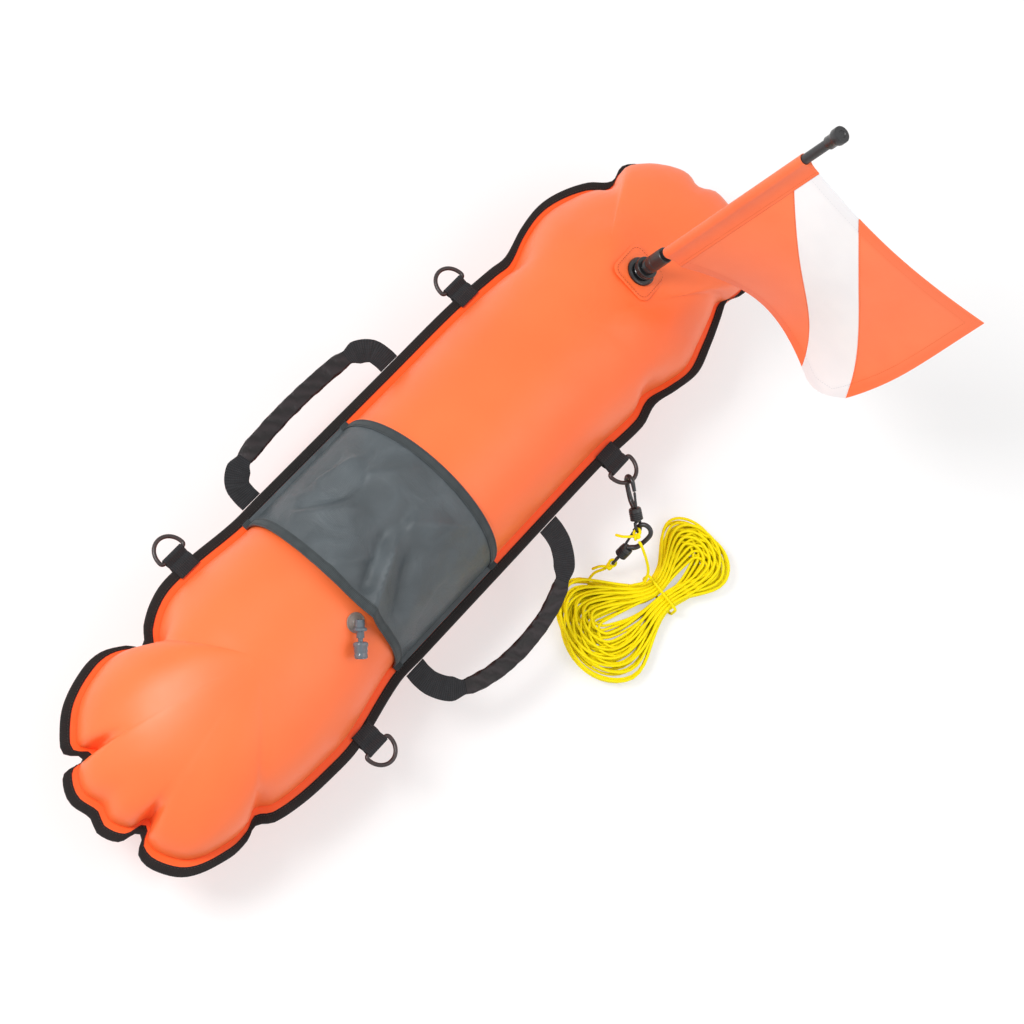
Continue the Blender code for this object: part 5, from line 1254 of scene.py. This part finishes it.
# The share of a pass from end to end that goes into the round of each end.
ROUND_SHARE = 0.25
KNOT_POINTS = 96
KNOT_WIDTH = 0.00105
KNOT_DEPTH = 0.00165
# A knot's loop runs this far from the middle of the eye's wire, and leaves the knot this far
# to each side of its middle.
LOOP_REACH = 0.0034
LOOP_PINCH = 0.0010


def hank_spine(s):
    """A point of the hank's middle line and its left normal, s metres past the waist."""
    end = HANK_LEFT_END if s < 0 else HANK_RIGHT_END
    reach = (end - HANK_WAIST).length
    left = (HANK_WAIST - HANK_LEFT_END).normalized()
    right = (HANK_RIGHT_END - HANK_WAIST).normalized()
    middle = (left + right).normalized()
    share = min(abs(s) / reach, 1.0)
    way, far = (-1, left) if s < 0 else (1, right)
    p = hermite(HANK_WAIST, end, middle * reach * way, far * reach * way, share)
    heading = middle.lerp(far, share).normalized()
    return p, Vector((-heading.y, heading.x, 0)), reach


def hank_point(turn):
    """The line's middle after that many turns from the left end of the bottom layer."""
    phase = (turn - (TURNS_PER_LAYER - 0.25)) % (2 * TURNS_PER_LAYER)
    climbed = math.floor(turn / TURNS_PER_LAYER)
    risen = ease((turn - climbed * TURNS_PER_LAYER - (TURNS_PER_LAYER - 0.4)) / 0.3)
    above = min(climbed + 1, HANK_LAYERS - 1)
    shift = LAYER_SHIFTS[climbed] + (LAYER_SHIFTS[above] - LAYER_SHIFTS[climbed]) * risen
    lean = LAYER_LEANS[climbed] + (LAYER_LEANS[above] - LAYER_LEANS[climbed]) * risen
    lane = max(0.5 + min(phase, 2 * TURNS_PER_LAYER - phase) - shift, 0.5)
    spread = (lane - 0.5) / TURNS_PER_LAYER
    part = (turn - math.floor(turn)) * 2
    side = 1 if part < 1 else -1
    along = part if part < 1 else 2 - part
    nest = 1 - NESTING * (1 - spread) + STRAY * noise.noise(Vector((turn * 0.9, 0.3, 4.1)))
    left_half = LEFT_FAN[0] + LEFT_FAN[1] * spread
    right_half = RIGHT_FAN[0] + RIGHT_FAN[1] * spread
    waist_half = WAIST_CORE + WAIST_STEP * (lane - 0.5)
    left_round, right_round = left_half * FAN_ROUNDNESS, right_half * FAN_ROUNDNESS
    left_end = -(HANK_LEFT_END - HANK_WAIST).length * nest
    right_end = (HANK_RIGHT_END - HANK_WAIST).length * nest
    if along < ROUND_SHARE:
        turn_share = along / ROUND_SHARE * math.pi / 2
        s = left_end + left_round * (1 - math.cos(turn_share))
        lateral = left_half * math.sin(turn_share)
    elif along > 1 - ROUND_SHARE:
        turn_share = (1 - along) / ROUND_SHARE * math.pi / 2
        s = right_end - right_round * (1 - math.cos(turn_share))
        lateral = right_half * math.sin(turn_share)
    else:
        first, last = left_end + left_round, right_end - right_round
        from_waist = abs(along - 0.5) / (0.5 - ROUND_SHARE)
        s = first * from_waist if along <= 0.5 else last * from_waist
        widest, away = (left_half, s / first) if s < 0 else (right_half, s / last)
        lateral = waist_half + (widest - waist_half) * ease(away)
    p, normal, reach = hank_spine(s)
    spacing = WAIST_LAYER + (FAN_LAYER - WAIST_LAYER) * ease(abs(s) / reach)
    lift = WAIST_LIFT * math.exp(-(s / 0.045) ** 2)
    out = ease((abs(s) / reach - 0.10) / 0.55)
    height = LINE / 2 + GAP / 3 + lift + (climbed + risen) * spacing
    return p + normal * (side * lateral + lean * out) + Z_AXIS * height


def braided_line():
    """Braided polypropylene: flat strands crossing both ways, bright, a little waxy."""
    made, tree = new_finish("yellow_braid", 0xFAE41A, 0.55, Specular_IOR_Level=0.2)
    flat = add_node(tree, "ShaderNodeUVMap", uv_map="cut")
    # Strands cross every 1.6 mm of the 3 mm braid, drawn at their real size.
    strands = []
    for slant in (0.9, -0.9):
        leaning = add_node(tree, "ShaderNodeMapping", {"Vector": flat, "Rotation": (0, 0, slant)})
        strands.append(add_node(tree, "ShaderNodeTexWave", {"Vector": leaning, "Scale": 190.0},
                                wave_type="BANDS", bands_direction="X"))
    braid = add_node(tree, "ShaderNodeMath", dict(enumerate(strands)), operation="MAXIMUM")
    pattern(tree, braid, 0.7, 0.0004, braid, 0xF2D400, 0xFFF200)
    return made


line_finish = braided_line()
total_steps = (LAST_POINT - FIRST_POINT) * HANK_STEPS
route = [hank_point((FIRST_POINT + i / HANK_STEPS) / POINTS_PER_LOOP) for i in range(total_steps + 1)]


def line_piece(name, path, node, sides=10):
    """A stretch of the line as a round tube along a path."""
    return add_piece(name, swept(path, LINE / 2, sides), line_finish, "float", [node])


def overhand_knot(centre, aim, hint, eye_wire, tail):
    """A tight overhand knot with its loop round the eye's wire and a short tail."""
    place = placed(centre, aim, hint)
    lump = []
    for i in range(KNOT_POINTS):
        t = 2 * math.pi * i / KNOT_POINTS
        lump.append(place @ Vector((KNOT_WIDTH * (math.sin(t) + 2 * math.sin(2 * t)),
                                    KNOT_WIDTH * (math.cos(t) - 2 * math.cos(2 * t)),
                                    -KNOT_DEPTH * math.sin(3 * t))))
    parts = [swept(lump, LINE / 2, 10, True)]
    for path in (eye_wire, tail):
        fine = smooth_open(path, 0.0012)
        parts.append(swept(fine, [LINE / 2] * (len(fine) - 1) + [LINE * 0.35], 10))
    return merged(*parts)


spun = hook_1 @ Matrix.Rotation(eye_turn, 4, "Z")
knot_1_at = spun @ Vector((0.0088, 0, HOOK_LENGTH + 0.0013))
knot_2_at = hook_2 @ Vector((0, 0, HOOK_LENGTH + KNOT_RADIUS + GAP * 2))
lead_1_out = Vector((-0.20, -0.95, -0.25)).normalized()
lead_2_out = Vector((-0.55, 0.30, -0.75)).normalized()
eye_1 = spun @ Vector((0.0045, 0, HOOK_LENGTH - 0.0030))
side_1 = (spun.to_3x3() @ Y_AXIS).normalized()
around_1 = (eye_1 - knot_1_at).normalized()
loop_1 = [knot_1_at + side_1 * LOOP_PINCH, eye_1 + side_1 * LOOP_REACH - around_1 * LOOP_PINCH,
          eye_1 + around_1 * LOOP_REACH, eye_1 - side_1 * LOOP_REACH - around_1 * LOOP_PINCH,
          knot_1_at - side_1 * LOOP_PINCH]
tail_1 = [knot_1_at + Vector((0, 0.001, 0)), knot_1_at + Vector((-0.008, 0.010, -0.004)),
          knot_1_at + Vector((-0.010, 0.017, -0.010))]
wire_2 = hook_2 @ Vector((0, 0, HOOK_LENGTH - EYE_WIRE))
side_2 = (hook_2.to_3x3() @ X_AXIS).normalized()
loop_2 = [knot_2_at + side_2 * LOOP_PINCH, wire_2 + side_2 * LOOP_REACH,
          wire_2 - hook_aims[1] * LOOP_REACH, wire_2 - side_2 * LOOP_REACH, knot_2_at - side_2 * LOOP_PINCH]
tail_2 = [knot_2_at, knot_2_at + Vector((-0.006, 0.007, -0.002)), knot_2_at + Vector((-0.012, 0.011, -0.008))]
knot_1, knot_2 = [add_piece(f"knot_on_hook_{name}", overhand_knot(*knot), line_finish, "float",
                            [f"knot_{name}"], 60)
                  for name, knot in (("1", (knot_1_at, lead_1_out, side_1, loop_1, tail_1)),
                                     ("2", (knot_2_at, lead_2_out, side_2, loop_2, tail_2)))]

gap = GAP * 2
end = route[-1]
along = (end - route[-2]).normalized()
begin = knot_1_at + lead_1_out * (KNOT_RADIUS + gap)
guide = [begin, begin + lead_1_out * LINE * 2, Vector((0.160, -0.217, 0.052)),
         Vector((0.158, -0.226, 0.038)), Vector((0.152, -0.230, 0.027)),
         end + along * LINE * 2 + Z_AXIS * 0.0045, end + along * (LINE + gap), end + along * gap]
lead_1_path = smooth_open(guide, 0.0020)
lead_1 = line_piece("lead_to_hook_1", lead_1_path, "line_lead_1", 12)
first = route[0]
back = (first - route[1]).normalized()
begin = knot_2_at + lead_2_out * (KNOT_RADIUS * 0.85 + gap)
guide = [begin, begin + lead_2_out * LINE, Vector((0.128, -0.186, 0.0095)),
         Vector((0.1185, -0.187, 0.0055)), first + back * LINE * 2, first + back * (LINE + gap),
         first + back * gap]
lead_2_path = smooth_open(guide, 0.0020)
lead_2 = line_piece("lead_to_hook_2", lead_2_path, "line_lead_2", 12)
hank = line_piece("wound_line", route, "line_hank")

p, normal, _ = hank_spine(0)
half = WAIST_CORE + WAIST_STEP * TURNS_PER_LAYER
bottom = LINE / 2 + GAP / 3 + WAIST_LIFT
rise = WAIST_LAYER * (HANK_LAYERS - 1) / 2
radius = LINE + 0.0009
tie_path = [p + normal * a + Z_AXIS * (bottom + rise + b)
            for a, b in rounded_box(half + radius, rise + radius, radius, 7)]
tie = add_piece("waist_tie", swept(tie_path, LINE / 2, 10, True, normal.cross(Z_AXIS)), line_finish,
                "float", ["hank_tie"])


# Floor, light and camera
# A flat floor of white paper under two soft lamps, as in a product photograph.

floor_mesh = bpy.data.meshes.new("paper_floor")
floor_mesh.from_pydata([(-6, -6, 0), (6, -6, 0), (6, 6, 0), (-6, 6, 0)], [], [(0, 1, 2, 3)])
paper, tree = new_finish("white_paper", 0xFAFAFA, 0.9)
# Half of what the camera sees of the paper is burnt out to white, so that its shadows stay pale.
ray = add_node(tree, "ShaderNodeLightPath").outputs["Is Camera Ray"]
seen = add_node(tree, "ShaderNodeMath", {0: ray, 1: 0.5}, operation="MULTIPLY")
burnt = add_node(tree, "ShaderNodeEmission", {"Color": (1, 1, 1, 1), "Strength": 1.0})
blend = add_node(tree, "ShaderNodeMixShader", {0: seen, 1: tree.nodes["Principled BSDF"], 2: burnt})
connect(tree, tree.nodes["Material Output"], {"Surface": blend})
floor_mesh.materials.append(paper)
show("paper_floor", floor_mesh)

world = bpy.data.worlds.new("studio")
world.use_nodes = True
bpy.context.scene.world = world
tree = world.node_tree
ray = add_node(tree, "ShaderNodeLightPath").outputs
seen = add_node(tree, "ShaderNodeMath", {0: ray["Is Camera Ray"], 1: ray["Is Glossy Ray"]},
                operation="MAXIMUM")
strength = add_node(tree, "ShaderNodeMapRange", {"Value": seen, "To Min": 0.62, "To Max": 1.0})
connect(tree, tree.nodes["Background"], {"Color": (1, 1, 1, 1), "Strength": strength})

# Two square soft lamps, turned towards the float.
LAMP_AIM = Vector((0, 0, 0.1))
for name, place, size, power in (("key_lamp", (-1.0, 1.3, 2.2), 0.9, 46),
                                 ("fill_lamp", (0.9, -1.4, 2.0), 1.8, 15)):
    lamp = bpy.data.lights.new(name, "AREA")
    lamp.size = size
    lamp.energy = power
    made = show(name, lamp)
    made.location = place
    made.rotation_euler = (LAMP_AIM - Vector(place)).to_track_quat("-Z", "Y").to_euler()

CAMERA_TILT = math.radians(68)
CAMERA_AWAY = 2.6
SENSOR_WIDTH = 36
PHOTO_WIDTH = 1024
FOCUS_IN_PIXELS = 2600
# The float's middle line runs 0.685 up for 0.728 to the right in the photograph.
CAMERA_ROLL = math.atan2(0.685, 0.728)
FRAME_CENTRE = Vector((-0.110, -0.001))
back = Vector((-math.cos(CAMERA_TILT), 0, math.sin(CAMERA_TILT)))
level_up = Vector((math.sin(CAMERA_TILT), 0, math.cos(CAMERA_TILT)))
right = -Y_AXIS * math.cos(CAMERA_ROLL) + level_up * math.sin(CAMERA_ROLL)
up = level_up * math.cos(CAMERA_ROLL) + Y_AXIS * math.sin(CAMERA_ROLL)
view = bpy.data.cameras.new("photo_camera")
view.lens = FOCUS_IN_PIXELS / PHOTO_WIDTH * SENSOR_WIDTH
view.sensor_width = SENSOR_WIDTH
camera = show("photo_camera", view)
stand = Matrix((right, up, back)).transposed().to_4x4()
stand.translation = (Z_AXIS * SEAM_HEIGHT + back * CAMERA_AWAY - right * FRAME_CENTRE.x
                     - up * FRAME_CENTRE.y)
camera.matrix_world = stand
bpy.context.scene.camera = camera
bpy.context.scene.view_settings.view_transform = "Standard"
